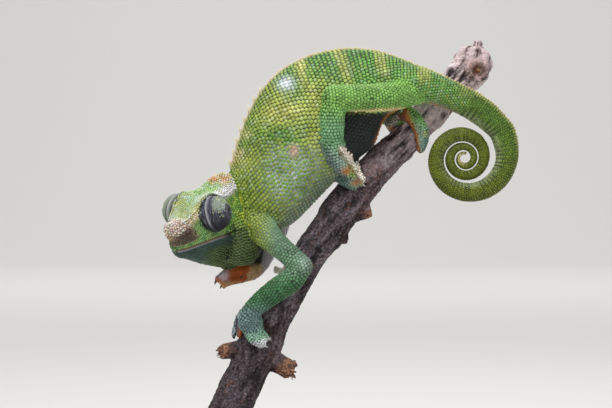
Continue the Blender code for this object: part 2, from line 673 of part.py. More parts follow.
def make_perch(parts, cutters):
    rows = [50, 51, 53, 57, 63, 70, 78, 87, 100, 115, 132, 150, 168, 186, 204, 222, 240, 260, 282,
            304, 322, 336, 350, 364, 382, 404, 428, 450]
    centres, normals, radii = [], [], []
    for row in rows:
        centre, radius, _, _ = perch_frame(row)
        centres.append(centre)
        normals.append(Vector((0, -1, 0)))
        radii.append(radius)
    perch = tube("perch_branch", centres, normals, radii, radii, PERCH_SIDES, parts)
    twigs = []
    for name, root_row, tip_column, tip_row, tip_depth, thick, thin in TWIGS:
        root, _ = perch_axis(root_row)
        tip = place(tip_column, tip_row, tip_depth * MM)
        points = [root.lerp(tip, share) for share in (0.0, 0.55, 1.0)]
        sizes = [thick * MM, (thick * 0.45 + thin * 0.55) * MM, thin * MM]
        twigs.append(tube(name, points, [Vector((0, -1, 0))] * 3, sizes, sizes, 8, cutters))
    combine(perch, "UNION", twigs)
    bm = bmesh.new()
    bmesh.ops.create_cube(bm, size=CUT_BLOCK)
    foot, _ = perch_axis(PERCH[-1][0])
    bmesh.ops.translate(bm, verts=bm.verts,
                        vec=Vector((foot.x, 0, PERCH_CUT_HEIGHT - CUT_BLOCK / 2)))
    mesh = bpy.data.meshes.new("level_cut")
    bm.to_mesh(mesh)
    bm.free()
    combine(perch, "DIFFERENCE", [new_object("level_cut", mesh, cutters)])
    finish(perch, COLOURS["bark"], roughness=0.85)
    return perch


# Legs and feet

def leg_stretch(name, stations, first, last, count, collection, rounded=(False, False)):
    """A leg between two stations, short of a flat cut by half a gap."""
    rows = numbered(stations)
    centres, thick, wide = [], [], []
    for i in range(count):
        column, row, depth, across, deep = follow(rows, first + (last - first) * i / (count - 1))
        centres.append(place(column, row, depth * MM))
        thick.append(deep * MM)
        wide.append(across * MM)
    if first > 0:
        centres[0] += (centres[1] - centres[0]).normalized() * HALF_GAP
    if last < len(stations) - 1:
        centres[-1] += (centres[-2] - centres[-1]).normalized() * HALF_GAP
    normals = [Vector((0, -1, 0))] * count
    return tube(name, centres, normals, thick, wide, LEG_SIDES, collection, rounded)


def toe(name, path, normals, radius, tip_radius, collection):
    """A toe along its path, ending in a claw that bends down to the perch."""
    count = len(path)
    radii = [radius + (tip_radius - radius) * i / (count - 1) for i in range(count)]
    tip = path[-1]
    heading = (tip - path[-2]).normalized()
    down = -normals[-1]
    claw = [tip + (heading * ahead + down * dip) * tip_radius for ahead, dip, _ in CLAW]
    claw_radii = [max(share * tip_radius, CLAW_POINT) for _, _, share in CLAW]
    return tube(name, path + claw, normals + [normals[-1]] * len(CLAW), radii + claw_radii,
                radii + claw_radii, TOE_SIDES, collection)


def grip_toes(name, bundle, collection):
    """The toes of one bundle, wound part of the way round the perch."""
    toes, first_row, last_row, first_angle, last_angle, root, tip, root_step, tip_step = bundle
    made = []
    for k in range(toes):
        offset = k - (toes - 1) / 2
        centres, normals = [], []
        for i in range(TOE_RINGS):
            share = i / (TOE_RINGS - 1)
            row = first_row + (last_row - first_row) * share
            row += offset * (root_step + (tip_step - root_step) * share)
            angle = first_angle + (last_angle - first_angle) * share
            radius = (root + (tip - root) * share) * MM
            centre, out = round_place(row, angle, radius + GAP)
            centres.append(centre)
            normals.append(out)
        made.append(toe(f"{name}_toe", centres, normals, root * MM, tip * MM, collection))
    return made


def free_toes(name, collection):
    """The toes of the raised hand, side by side in two bundles."""
    made = []
    for points, toes, root, tip, step in FREE_TOES:
        rows = numbered(points)
        for k in range(toes):
            offset = (k - (toes - 1) / 2) * step * MM
            centres = []
            for i in range(TOE_RINGS):
                column, row, depth = follow(rows, (len(points) - 1) * i / (TOE_RINGS - 1))
                centres.append(place(column, row, depth * MM + offset))
            normals = [Vector((0, 0, 1))] * TOE_RINGS
            made.append(toe(f"{name}_toe", centres, normals, root * MM, tip * MM, collection))
    return made


def make_leg(name, leg, body, perch, parts, cutters):
    foot_name = name.replace("leg", "foot")
    wrist = leg["wrist"]
    palm_end = len(leg["lower"]) - 1.0
    upper = leg_stretch(f"{name}_upper", leg["upper"], 0.0, len(leg["upper"]) - 1.0, 10, parts,
                        (False, True))
    lower = leg_stretch(f"{name}_lower", leg["lower"], 0.0, wrist, 10, parts, (True, False))
    foot = leg_stretch(foot_name, leg["lower"], wrist, palm_end, 5, parts, (False, True))
    if foot_name in GRIPS:
        toes = [t for bundle in GRIPS[foot_name] for t in grip_toes(foot_name, bundle, cutters)]
    else:
        toes = free_toes(foot_name, cutters)
    combine(foot, "UNION", toes)
    carve(upper, body, cutters)
    carve(lower, body + [upper, perch], cutters)
    carve(foot, body + [lower, perch], cutters)
    finish(upper, COLOURS["leg"])
    finish(lower, COLOURS["leg"])
    finish(foot, COLOURS["foot"])


# Stand

def make_stand(parts):
    bm = bmesh.new()
    bmesh.ops.create_cube(bm, size=1)
    bmesh.ops.scale(bm, vec=(BASE_LENGTH, BASE_WIDTH, BASE_HEIGHT), verts=bm.verts)
    bmesh.ops.translate(bm, vec=(0, 0, BASE_HEIGHT / 2), verts=bm.verts)
    uprights = [e for e in bm.edges if abs(e.verts[0].co.z - e.verts[1].co.z) > BASE_HEIGHT / 2]
    bmesh.ops.bevel(bm, geom=uprights, offset=BASE_CORNER, segments=6, profile=0.5,
                    affect="EDGES", material=-1)
    bm.normal_update()
    top = BASE_HEIGHT * 0.99
    rim = [e for e in bm.edges if e.verts[0].co.z > top and e.verts[1].co.z > top]
    bmesh.ops.bevel(bm, geom=rim, offset=BASE_EDGE, segments=2, profile=0.5,
                    affect="EDGES", material=-1)
    mesh = bpy.data.meshes.new("stand_base")
    bm.to_mesh(mesh)
    bm.free()
    base = new_object("stand_base", mesh, parts)
    row_at_cut = GRID_MIDDLE[1] + (GRID_MIDDLE_HEIGHT - PERCH_CUT_HEIGHT) / GRID
    cut_middle, _ = perch_axis(row_at_cut)
    profile = [(ROD_FOOT_RADIUS, BASE_HEIGHT + GAP),
               (ROD_FOOT_RADIUS, BASE_HEIGHT + GAP + ROD_FOOT_HEIGHT * 0.7),
               (ROD_FOOT_RADIUS - ROD_FOOT_SLOPE, BASE_HEIGHT + GAP + ROD_FOOT_HEIGHT),
               (ROD_RADIUS, BASE_HEIGHT + GAP + ROD_FOOT_HEIGHT),
               (ROD_RADIUS, PERCH_CUT_HEIGHT - GAP)]
    rings = []
    for radius, height in profile:
        ring = []
        for k in range(ROD_SIDES):
            angle = 2 * math.pi * k / ROD_SIDES
            ring.append(Vector((cut_middle.x + radius * math.cos(angle),
                                cut_middle.y + radius * math.sin(angle), height)))
        rings.append(ring)
    rod = loft("stand_rod", rings, parts)
    finish(base, COLOURS["base"], roughness=0.45)
    finish(rod, COLOURS["rod"], roughness=0.3, metallic=1.0)


def main():
    for obj in list(bpy.data.objects):
        bpy.data.objects.remove(obj)
    parts = bpy.data.collections.new("fischers_chameleon")
    cutters = bpy.data.collections.new("cutters")
    for collection in (parts, cutters):
        bpy.context.scene.collection.children.link(collection)
    torso, plain_torso, tail_base = make_trunk_and_tail(parts, cutters)
    plain_head, eyes = make_head(parts, cutters)
    neck = make_neck(plain_head, parts, cutters)
    perch = make_perch(parts, cutters)
    body = [plain_torso, neck, plain_head]
    for name, leg in LEGS.items():
        make_leg(name, leg, body, perch, parts, cutters)
    make_stand(parts)
    for helper in list(cutters.objects):
        bpy.data.objects.remove(helper)
    bpy.data.collections.remove(cutters)


main()
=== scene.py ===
import math
import random

import bmesh
import bpy
import numpy as np
from mathutils import Matrix, Vector, noise
from mathutils.bvhtree import BVHTree
from mathutils.kdtree import KDTree


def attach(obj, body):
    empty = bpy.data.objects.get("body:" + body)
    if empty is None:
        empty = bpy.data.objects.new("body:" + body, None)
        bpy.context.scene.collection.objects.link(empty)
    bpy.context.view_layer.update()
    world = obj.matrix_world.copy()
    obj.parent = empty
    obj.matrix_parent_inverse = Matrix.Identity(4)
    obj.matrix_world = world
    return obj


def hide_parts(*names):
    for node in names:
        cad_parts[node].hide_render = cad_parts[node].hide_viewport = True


# A Fischer's chameleon climbing head down on a cut branch, over a plain display stand.
# Lengths in the tables are millimetres; columns and rows are places on the picture grid.

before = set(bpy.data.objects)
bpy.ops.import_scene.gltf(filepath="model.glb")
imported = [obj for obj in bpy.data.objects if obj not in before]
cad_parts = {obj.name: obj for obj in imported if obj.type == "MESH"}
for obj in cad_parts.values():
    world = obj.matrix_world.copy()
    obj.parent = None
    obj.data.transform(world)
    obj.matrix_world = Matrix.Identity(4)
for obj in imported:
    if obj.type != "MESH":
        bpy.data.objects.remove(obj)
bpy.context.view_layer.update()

mm = 0.001
gridUnit = 0.3 * mm
gridMiddle = (306, 204)
gridMiddleHeight = 106.2 * mm
eyeDistance = 620 * mm
coatDepth = 0.22          # how far the skin lies below the tops of the scales


def place(column, row, depth=0):
    spread = gridUnit * (eyeDistance + depth * mm) / eyeDistance
    return Vector(((column - gridMiddle[0]) * spread, depth * mm,
                   gridMiddleHeight + (gridMiddle[1] - row) * spread))


def onGrid(points):
    spread = gridUnit * (eyeDistance + points[:, 1]) / eyeDistance
    return (gridMiddle[0] + points[:, 0] / spread,
            gridMiddle[1] - (points[:, 2] - gridMiddleHeight) / spread)


def follow(rows, x):      # a smooth curve through rows sorted by their first value
    x = min(max(x, rows[0][0]), rows[-1][0])
    i = 0
    while i < len(rows) - 2 and x > rows[i + 1][0]:
        i += 1

    def slope(k):
        a = rows[max(k - 1, 0)]
        b = rows[min(k + 1, len(rows) - 1)]
        return [(q - p) / (b[0] - a[0]) for p, q in zip(a[1:], b[1:])]

    left, right = rows[i], rows[i + 1]
    span = right[0] - left[0]
    t = (x - left[0]) / span
    h = (2 * t**3 - 3 * t**2 + 1, t**3 - 2 * t**2 + t, 3 * t**2 - 2 * t**3, t**3 - t**2)
    return [h[0] * p + h[1] * span * m + h[2] * q + h[3] * span * n
            for p, q, m, n in zip(left[1:], right[1:], slope(i), slope(i + 1))]


def numbered(rows):
    return [(float(i), *row) for i, row in enumerate(rows)]


def spaced(rows, count):      # so many places spread evenly along a curve through rows
    rows = numbered(rows)
    return [follow(rows, x) for x in np.linspace(0, len(rows) - 1, count).tolist()]


def between(spots, walk, rows):      # where a line of points is at some lengths along it
    return np.stack([np.interp(spots, walk, rows[:, k]) for k in range(rows.shape[1])], axis=-1)


def walked(points):       # how far along a row of points each one is
    return np.concatenate([[0], np.cumsum(np.linalg.norm(np.diff(points, axis=0), axis=1))])


# Shaders: sums on sockets read like plain sums

class Wire:
    def __init__(self, finish, socket):
        self.finish = finish
        self.socket = socket

    def maths(self, operation, first, second):
        return self.finish.node("ShaderNodeMath", "Value", {"operation": operation},
                                {0: first, 1: second})

    def __add__(self, other):
        return self.maths("ADD", self, other)

    def __radd__(self, other):
        return self.maths("ADD", other, self)

    def __sub__(self, other):
        return self.maths("SUBTRACT", self, other)

    def __rsub__(self, other):
        return self.maths("SUBTRACT", other, self)

    def __mul__(self, other):
        return self.maths("MULTIPLY", self, other)

    def __rmul__(self, other):
        return self.maths("MULTIPLY", other, self)


class Finish:
    def __init__(self, name, **fixed):
        self.material = bpy.data.materials.new(name)
        self.material.use_nodes = True
        self.tree = self.material.node_tree
        self.shader = self.tree.nodes["Principled BSDF"]
        self.wear(**fixed)

    def node(self, kind, output, settings=None, sockets=None):
        node = self.tree.nodes.new(kind)
        for key, value in (settings or {}).items():
            setattr(node, key, value)
        for key, value in (sockets or {}).items():
            self.join(value, node.inputs[key])
        return Wire(self, node.outputs[output])

    def join(self, value, socket):
        if isinstance(value, Wire):
            self.tree.links.new(value.socket, socket)
        else:
            socket.default_value = value

    def mix(self, share, a, b, kind="MIX"):
        return self.node("ShaderNodeMix", 2, {"data_type": "RGBA", "blend_type": kind},
                         {0: share, 6: a, 7: b})

    def attribute(self, name, output="Color"):
        return self.node("ShaderNodeAttribute", output, {"attribute_name": name})

    def where(self, stretch=None):      # places on the object, stretched for a grain
        spot = self.node("ShaderNodeTexCoord", "Object")
        return spot if stretch is None else self.node("ShaderNodeMapping", "Vector", None,
                                                      {"Vector": spot, "Scale": stretch})

    def noise(self, scale, detail=3, rough=0.55, vector=None):
        return self.node("ShaderNodeTexNoise", "Fac", None,
                         {"Vector": vector or self.where(), "Scale": scale, "Detail": detail,
                          "Roughness": rough})

    def cells(self, scale):
        return self.node("ShaderNodeTexVoronoi", "Distance", None,
                         {"Vector": self.where(), "Scale": scale})

    def spread(self, value, low, high, to=(0, 1)):
        return self.node("ShaderNodeMapRange", "Result", {"interpolation_type": "SMOOTHSTEP"},
                         {"Value": value, "From Min": low, "From Max": high,
                          "To Min": to[0], "To Max": to[1]})

    def bump(self, height, distance, strength=1):
        return self.node("ShaderNodeBump", "Normal", None,
                         {"Height": height, "Distance": distance, "Strength": strength})

    def wear(self, **links):
        for key, value in links.items():
            self.join(value, self.shader.inputs[key.replace("_", " ")])
        return self.material


def linear(red, green, blue):
    return tuple(((v / 255 + 0.055) / 1.055) ** 2.4 if v > 10 else v / 255 / 12.92
                 for v in (red, green, blue))


def tone(red, green, blue):
    return (*linear(red, green, blue), 1)


# Forms: rings of points, from which come the skin and the rows of scales

trunk = {
    "rows": [     # column and row of the back, column and row of the belly, half width, keel
        (231, 168, 266, 243, 6.4, 0.12), (238.5, 143, 279, 232, 7.6, 0.18),
        (248.5, 115, 296, 221, 8.6, 0.24), (264, 88, 316, 201, 9.2, 0.28),
        (287, 67, 335, 181, 9.2, 0.3), (315, 54.5, 357, 160, 8.6, 0.3),
        (345, 49.2, 374, 145, 7.6, 0.28), (372, 50.5, 383, 122, 6.7, 0.24),
        (395, 56.5, 397, 110.5, 6.2, 0.18), (415, 64.5, 413, 102, 5.4, 0.16),
        (430, 70, 425, 103, 4.8, 0.14), (447, 77.5, 438, 106.5, 4.3, 0.12),
        (463, 85.5, 451, 111.5, 4, 0.1), (478, 93, 463, 117, 3.8, 0.1),
        (492, 102.5, 474, 124, 3.6, 0.1), (505, 115.5, 484, 131.5, 3.5, 0.1),
        (515, 130, 491.5, 140, 3.4, 0.1)],
    "tailFrom": 12, "trunkTo": 13, "tailBare": 0.029,
}
coil = {
    "centre": (464.7, 158), "keel": 0.1, "width": 0.92, "stations": 3,
    "quarters": [     # radius and half height on the grid at each quarter turn
        (42.4, 11.4), (34.2, 9.5), (28.6, 8), (23.5, 7.3), (19.4, 5.7), (17.4, 5.1), (14.75, 5),
        (11.5, 4), (9.2, 3.8), (8.1, 3.6), (6.6, 2.3), (4.8, 1.6)],
}
neck = {
    "rows": [     # top column, row, depth; underside column, row, depth; half width, turn
        (231, 168, 0, 266, 243, 0, 6.4, 0), (228.5, 177, 0.6, 254, 262, -1, 6.3, 16),
        (223, 187.5, -1.5, 240, 266, -4.5, 6.3, 32), (217, 196, -4.2, 227, 261, -7.4, 5.6, 46)],
    "keel": 0.12,
}
head = {
    "middle": (196.5, 211.5, -10), "yaw": 52, "pitch": 25, "roll": 4,
    "rings": 64, "around": 72,
    "lines": {        # forward, left and up of the head's middle, from nape to snout
        "crown": [(-17.6, 0, 3), (-16.6, 0, 5), (-13, 0, 6.1), (-6.5, 0, 4.6), (-0.5, 0, 3.7),
                  (5, 0, 2.6), (9.5, 0, 1.9), (12.2, 0, 1), (13, 0, -0.7)],
        "brow": [(-17.6, 1.2, 2.4), (-16.6, 2.2, 3.7), (-13, 3.3, 4.5), (-6.5, 4, 4.1),
                 (-0.5, 4.6, 5.4), (4, 4.6, 3.4), (9, 3.3, 1.3), (11.8, 2.7, 0.6),
                 (13, 1.4, -0.9)],
        "orbit": [(-17.6, 1.8, 1.2), (-16.6, 3.6, 1.8), (-13, 5.2, 2.2), (-6.5, 6.1, 2.4),
                  (-0.5, 5.6, 4.3), (4, 5, 2), (9, 3.6, 0), (11.6, 3.2, -0.5), (12.9, 1.8, -1.4)],
        "temple": [(-17.4, 2.4, -0.4), (-16.2, 4.2, -0.8), (-12.6, 5.9, -0.8), (-6.5, 6.2, -1),
                   (-0.5, 5.4, -0.8), (4.5, 5.2, -1.2), (9, 3.8, -1.7), (11.8, 3.2, -1.9),
                   (12.9, 1.8, -2.1)],
        "cheek": [(-17.2, 3, -4), (-16, 5.4, -4.6), (-12.4, 7, -4.8), (-6.3, 7.2, -5),
                  (-0.3, 6.4, -4.8), (4.8, 5.1, -4.4), (9.4, 3.7, -4.1), (11.8, 2.6, -4),
                  (12.4, 1.2, -3.8)],
        "upperLip": [(-17, 3.2, -9.4), (-15.8, 5.6, -10), (-12, 7.4, -10.2), (-6, 7.6, -8.7),
                     (0, 6.9, -7.5), (5, 5.6, -6.9), (9.5, 4.1, -6.4), (12, 2.4, -6.3),
                     (13, 0.9, -6.3)],
        "mouth": [(-17, 3.2, -10), (-15.8, 5.6, -10.6), (-12, 7.4, -10.9), (-6, 7.5, -9.3),
                  (0, 6.8, -8.1), (5, 5.5, -7.5), (9.5, 4, -7), (12, 2.3, -6.9),
                  (12.8, 0.9, -6.9)],
        "lowerLip": [(-17, 3.2, -10.6), (-15.8, 5.6, -11.2), (-12, 7.4, -11.6), (-6, 7.5, -9.9),
                     (0, 6.7, -8.7), (5, 5.3, -8.1), (9.5, 3.8, -7.7), (12, 2.1, -7.6),
                     (12.6, 0.8, -7.6)],
        "jaw": [(-17, 3.2, -14.6), (-15.8, 5.6, -16.4), (-12, 7.2, -16.8), (-6, 6.8, -15.4),
                (0, 5.8, -12.8), (5, 4.5, -10.9), (9.2, 3.2, -9.4), (11.4, 2, -8.8),
                (12.3, 0.7, -8.4)],
        "throat": [(-17, 2.4, -19.6), (-15.8, 3.8, -22), (-12, 4.6, -22.3), (-6, 4.4, -20),
                   (0, 3.8, -16.4), (5, 2.8, -13.4), (9.2, 1.8, -10.8), (11.3, 1.1, -9.6),
                   (12.2, 0.5, -8.9)],
        "gullet": [(-17, 0, -20.8), (-15.8, 0, -23.4), (-12, 0, -24), (-6, 0, -21.4),
                   (0, 0, -17.6), (5, 0, -14.3), (9.2, 0, -11.1), (11.2, 0, -9.9),
                   (12.1, 0, -9.1)]},
    "mouthFrom": -12.4, "mouthWidth": 0.24, "mouthDepth": 0.55, "lipSwell": 0.14,
    "nostril": (7.6, 4.5, -2.9), "nostrilSize": 0.42,
}
turret = {
    "centre": (-0.2, 7.1, -0.2), "across": 5.1, "along": 4.5,
    "gazeLeft": (0.9, -0.38, 0.2), "gazeRight": (-0.72, 0.62, 0.12),
}
# Legs: column, row, depth; half thickness across the leg and along the depth
legs = {
    "forelegLeft": {
        "upper": [(246, 204, 1, 4.6, 4), (252, 214, -2, 4.6, 4), (262, 229, -5.2, 4.4, 3.6),
                  (275, 242.5, -7.8, 3.7, 3.4), (288, 254, -10, 3.3, 3.1),
                  (301.5, 267, -11.4, 3.5, 3.3)],
        "lower": [(301, 270, -11.4, 2.9, 2.8), (291.5, 280, -11.2, 3.6, 3.3),
                  (278, 289, -10.5, 3.6, 3.2), (264.5, 299, -9.8, 3.3, 3),
                  (254, 308, -9, 2.9, 2.8), (249, 315.5, -8, 2.9, 2.8),
                  (247.5, 324, -6.6, 2.9, 2.8)]},
    "forelegRight": {
        "upper": [(250, 234, -0.5, 4.2, 4), (262, 224, 6.5, 3.8, 3.6),
                  (272, 216.5, 10.5, 3.4, 3.2), (281, 210.5, 14, 3.4, 3.3)],
        "lower": [(280.8, 213, 14.2, 2.8, 2.7), (279, 225, 14.2, 3.3, 3.1),
                  (273, 239, 12.4, 3.2, 3), (266, 254, 9.8, 2.9, 2.7), (260, 265, 7.6, 2.7, 2.5),
                  (252.5, 272, 6, 2.6, 2.4), (243, 275, 4.6, 2.5, 2.2)]},
    "hindlegLeft": {
        "upper": [(428, 93, 0.6, 3, 2.4), (412, 92, -1.2, 4.2, 3.5), (399, 94.5, -3.6, 4.5, 3.8),
                  (386, 97, -6.4, 4.2, 3.9), (371, 98, -9, 4, 3.8), (355, 98, -10.6, 4, 3.8),
                  (334.5, 98.5, -11.8, 4.1, 3.9)],
        "lower": [(333.2, 103, -11.9, 3.3, 3.2), (332.3, 115, -12, 3.8, 3.6),
                  (332.3, 130, -11.4, 3.5, 3.3), (333, 144, -10.2, 3.3, 3.1),
                  (336, 154, -8.6, 3.1, 3), (341.5, 162, -6.4, 3, 3), (348, 168.5, -4, 2.7, 2.8)]},
    "hindlegRight": {
        "upper": [(406, 87, 0, 3.6, 3.4), (400, 90, 2, 3.8, 3.6), (389, 96, 7.2, 3.8, 3.6),
                  (377, 103, 11.6, 3.6, 3.4), (367, 109, 14.4, 3.4, 3.3)],
        "lower": [(369.5, 111.5, 14.6, 2.7, 2.6), (379, 115, 14, 2.9, 2.8),
                  (390, 115.5, 12, 2.8, 2.7), (399, 116, 9.4, 2.8, 2.8),
                  (404.5, 119, 6.4, 2.7, 2.7)]},
}
perch = {
    "rows": [     # row, column, depth, radius
        (50, 478.5, 16.2, 2.6), (54, 477, 15.8, 4.8), (61, 474, 15, 5.8), (70, 468.5, 13.9, 5.9),
        (80, 460.5, 12.9, 5.6), (92, 450, 11.8, 5.1), (108, 434.5, 10, 5), (126, 418, 7.8, 4.9),
        (143, 402, 5.6, 4.9), (155, 389, 4.4, 5), (175, 370, 2.4, 5.2), (195, 353, 1, 5.5),
        (212, 340, 0.2, 5.7), (231, 328, 0, 5.6), (246, 316, 0, 5.2), (262, 305, 0, 5.1),
        (300, 284, 0, 5.2), (320, 273, 0, 5.3), (336, 264.5, 0, 6.1), (350, 257.5, 0, 6.6),
        (366, 250, 0, 6.1), (385, 241, 0, 6.1), (408, 231, 0, 6.3), (450, 213, 0, 6.3)],
    "twigs": [     # row they grow from; column, row and depth of the tip; radii
        (55, 478.5, 40.5, 15.4, 2.8, 1.2), (66, 479, 70, 8, 3, 2.2), (345, 219.5, 353, -2, 3.6, 2),
        (352, 293, 371.5, -1, 4.2, 2.5), (276, 274.5, 269, 2, 1.2, 0.9),
        (218, 370.5, 208.5, 0, 3.6, 2.3), (234, 347.5, 237, 1, 3.2, 2)],
    "cut": 36, "grip": 0.3,      # height of the lower end, and room between toes and bark
}
# Rings along and points around each form, their spacing, and how much less the toes' coat is
formLook = {
    "trunk": (0.9, 56), "tail": (0.55, 40), "neck": (26, 48), "leg": (34, 32), "toe": (16, 20),
    "legCoat": 0.8, "tailCoat": 0.7, "toeCoat": 0.12, "blunt": (30, 55, 75),
    "cap": (20, 40, 60, 78), "toeLift": 0.86, "clawRoot": 0.7,
}
# Toes on the perch: columns and rows that each lies along, radii at root and tip, a claw or not
toes = {
    "forelegLeft": [
        ([(253, 311), (256.5, 321), (258.5, 329), (262, 334.5), (267.5, 338)],
         2.2, 1.15, True),
        ([(247, 312), (247, 322), (249.5, 332), (254, 339.5), (261.5, 344)],
         2.3, 1.45, True),
        ([(244, 311), (238.5, 320), (235.5, 329), (233.5, 336)], 1.5, 0.8, False),
        ([(243, 316), (240, 325), (239.5, 335)], 1.3, 1.2, False)],
    "hindlegLeft": [
        ([(342, 150), (348.5, 159), (355.5, 169), (363, 179)], 1.6, 0.95, True),
        ([(336, 156), (342, 166.5), (350, 175.5), (360.5, 183)], 2.4, 1.25, True),
        ([(331.5, 159), (334.5, 171), (343, 180.5), (354, 187)], 2.4, 1.3, False),
        ([(344, 150), (351, 156.5), (356, 163), (358.5, 169)], 1.4, 0.9, False)],
    "hindlegRight": [
        ([(406.5, 112), (415, 118), (421.5, 128), (423.5, 139), (420.5, 149)],
         2.3, 1.5, False),
        ([(407, 116), (413.5, 123), (418, 132), (419, 142)], 1.9, 1.2, False),
        ([(402, 115), (396.5, 119), (391.5, 124)], 2, 1.5, False)],
}
# Toes behind it: how many; row, angle (90 is the upper left), radius and gap at root and tip
grips = {
    "forelegLeft": (3, (320, 88, 1.9, 4.5), (337, 196, 1.2, 4.5)),
    "hindlegLeft": (2, (185, 70, 2, 4), (184, 190, 1.2, 3.4)),
    "hindlegRight": (2, (136, 92, 1.9, 4), (140, 196, 1.2, 3.6)),
}
raisedToes = [     # column, row, depth along the bundle; toes, radii, spread
    ([(252, 270.5, 5.6), (239, 271, 4), (227, 273, 2.2), (218.5, 279, 1.2)], 3, 1.75, 1.3, 1.6),
    ([(250, 275, 5.6), (240, 279, 3.6), (231, 281.5, 1.6), (223.5, 285, 0.2)], 2, 1.7, 1.1, 1.6)]

towards = Vector((0, -1, 0))
forms = {}        # name: its rings as an array, and the part of the body it belongs to
claws = []        # tip, heading, down, size


def coilRows():
    quarters = numbered(coil["quarters"])
    rows = []
    for i in range((len(quarters) - 1) * coil["stations"] + 1):
        quarter = i / coil["stations"]
        radius, half = follow(quarters, quarter)
        toward = (math.cos(quarter * math.pi / 2), math.sin(quarter * math.pi / 2))
        outer = [c + (radius + half) * d for c, d in zip(coil["centre"], toward)]
        inner = [c + (radius - half) * d for c, d in zip(coil["centre"], toward)]
        rows.append((*outer, *inner, half * 0.3 * coil["width"], coil["keel"]))
    return rows


spine = numbered(trunk["rows"] + coilRows())


def spineAt(station):
    backColumn, backRow, bellyColumn, bellyRow, half, keel = follow(spine, station)
    back, belly = place(backColumn, backRow), place(bellyColumn, bellyRow)
    return (back + belly) / 2, (back - belly) / 2, towards * half * mm, keel


def oval(centre, up, side, keel, count):
    ring = []
    for k in range(count):
        angle = 2 * math.pi * k / count
        ring.append(centre + up * math.cos(angle)
                    + side * (math.sin(angle) * (1 - keel * math.cos(angle))))
    return ring


def thinner(up, side, depth):     # half sizes less the depth of the coat
    return (up * (1 - depth * mm / up.length), side * (1 - depth * mm / side.length))


def addForm(name, part, rings):
    forms[name] = {"part": part, "rings": np.array([[tuple(p) for p in ring] for ring in rings])}


def spineForm(name, part, first, last, step, count, depth):
    rings = []
    station = first
    while station < last:
        centre, up, side, keel = spineAt(station)
        rings.append(oval(centre, *thinner(up, side, depth), keel, count))
        pace = (spineAt(station + 0.02)[0] - centre).length / 0.02
        station += step * mm / pace
    centre, up, side, keel = spineAt(last)
    rings.append(oval(centre, *thinner(up, side, depth), keel, count))
    if last >= spine[-1][0]:          # a blunt tip
        along = up.cross(side).normalized()
        if along.dot(centre - spineAt(last - 0.1)[0]) < 0:
            along = -along
        for degrees in formLook["blunt"]:
            swing = math.radians(degrees)
            rings.append(oval(centre + along * up.length * math.sin(swing), up * math.cos(swing),
                              side * math.cos(swing), keel, count))
    addForm(name, part, rings)


def tubeForm(name, part, centres, thick, wide, count, rounded=(True, True), normals=None):
    rings = []
    last = len(centres) - 1
    for i, centre in enumerate(centres):
        along = (centres[min(i + 1, last)] - centres[max(i - 1, 0)]).normalized()
        normal = towards if normals is None else normals[i]
        normal = (normal - along * normal.dot(along)).normalized()
        across = along.cross(normal)
        rings.append(oval(centre, normal * thick[i], across * wide[i], 0, count))
        for end, outward in ((0, -along), (last, along)):
            if i == end and rounded[end > 0]:
                reach = (thick[i] + wide[i]) / 2
                cap = [oval(centre + outward * reach * math.sin(math.radians(d)),
                            normal * thick[i] * math.cos(math.radians(d)),
                            across * wide[i] * math.cos(math.radians(d)), 0, count)
                       for d in formLook["cap"]]
                rings = rings + cap if end else cap[::-1] + rings
    addForm(name, part, rings)


def headFrame():
    yaw, pitch, roll = (math.radians(head[k]) for k in ("yaw", "pitch", "roll"))
    level = Vector((-math.cos(yaw), -math.sin(yaw), 0))
    left = Vector((math.sin(yaw), -math.cos(yaw), 0))
    upright = Vector((0, 0, 1))
    forward = level * math.cos(pitch) - upright * math.sin(pitch)
    up = upright * math.cos(pitch) + level * math.sin(pitch)
    tiltedLeft = left * math.cos(roll) - up * math.sin(roll)
    tiltedUp = up * math.cos(roll) + left * math.sin(roll)
    turn = Matrix((forward, tiltedLeft, tiltedUp)).transposed().to_4x4()
    return Matrix.Translation(place(*head["middle"])) @ turn


headMatrix = headFrame()


def headRing(share):
    half = []
    for line in head["lines"].values():
        rows = [(i / (len(line) - 1), *point) for i, point in enumerate(line)]
        half.append(np.array(follow(rows, share)))
    flip = np.array((1, -1, 1))
    corners = half + [p * flip for p in half[-2:0:-1]]
    count = len(corners)
    dense = []
    for k in range(count):            # a soft curve through the lines
        a, b, c, d = (corners[(k + n) % count] for n in (-1, 0, 1, 2))
        for t in np.linspace(0, 1, 6, endpoint=False):
            dense.append(0.5 * (2 * b + (c - a) * t + (2 * a - 5 * b + 4 * c - d) * t * t
                                + (3 * b - a - 3 * c + d) * t**3))
    dense = np.array(dense + dense[:1])
    walk = walked(dense)
    ring = between(np.linspace(0, walk[-1], head["around"], endpoint=False), walk, dense)
    middle = ring.mean(axis=0)
    outward = ring - middle
    outward /= np.linalg.norm(outward, axis=1)[:, None]
    ring = ring - outward * coatDepth * 0.7
    return [headMatrix @ Vector(p * mm) for p in ring]


def perchAt(row):
    column, depth, radius = follow(perch["rows"], row)
    centre = place(column, row, depth)
    belowColumn, belowDepth, _ = follow(perch["rows"], row + 1)
    down = (place(belowColumn, row + 1, belowDepth) - centre).normalized()
    upperLeft = towards.cross(down).normalized()
    return centre, radius * mm, down, upperLeft if upperLeft.x < 0 else -upperLeft


def ontoPerch(column, row, lift):      # a spot over the side of the perch that faces the viewer
    spot = place(column, row)
    best = None
    for level in np.arange(row - 60, row + 60, 1.0):
        if not 50 <= level <= 450:
            continue
        centre, radius, down, upperLeft = perchAt(level)
        off = spot - centre
        gap = abs(off.x * down.x + off.z * down.z)
        if best is None or gap < best[0]:
            best = (gap, centre, radius, upperLeft, off.x * upperLeft.x + off.z * upperLeft.z)
    _, centre, radius, upperLeft, aside = best
    reach = radius + lift * formLook["toeLift"] * mm
    aside = max(min(aside, reach), -reach)
    ahead = math.sqrt(reach**2 - aside**2)
    out = (towards * ahead + upperLeft * aside).normalized()
    return place(column, row, (centre.y - ahead) / mm), out


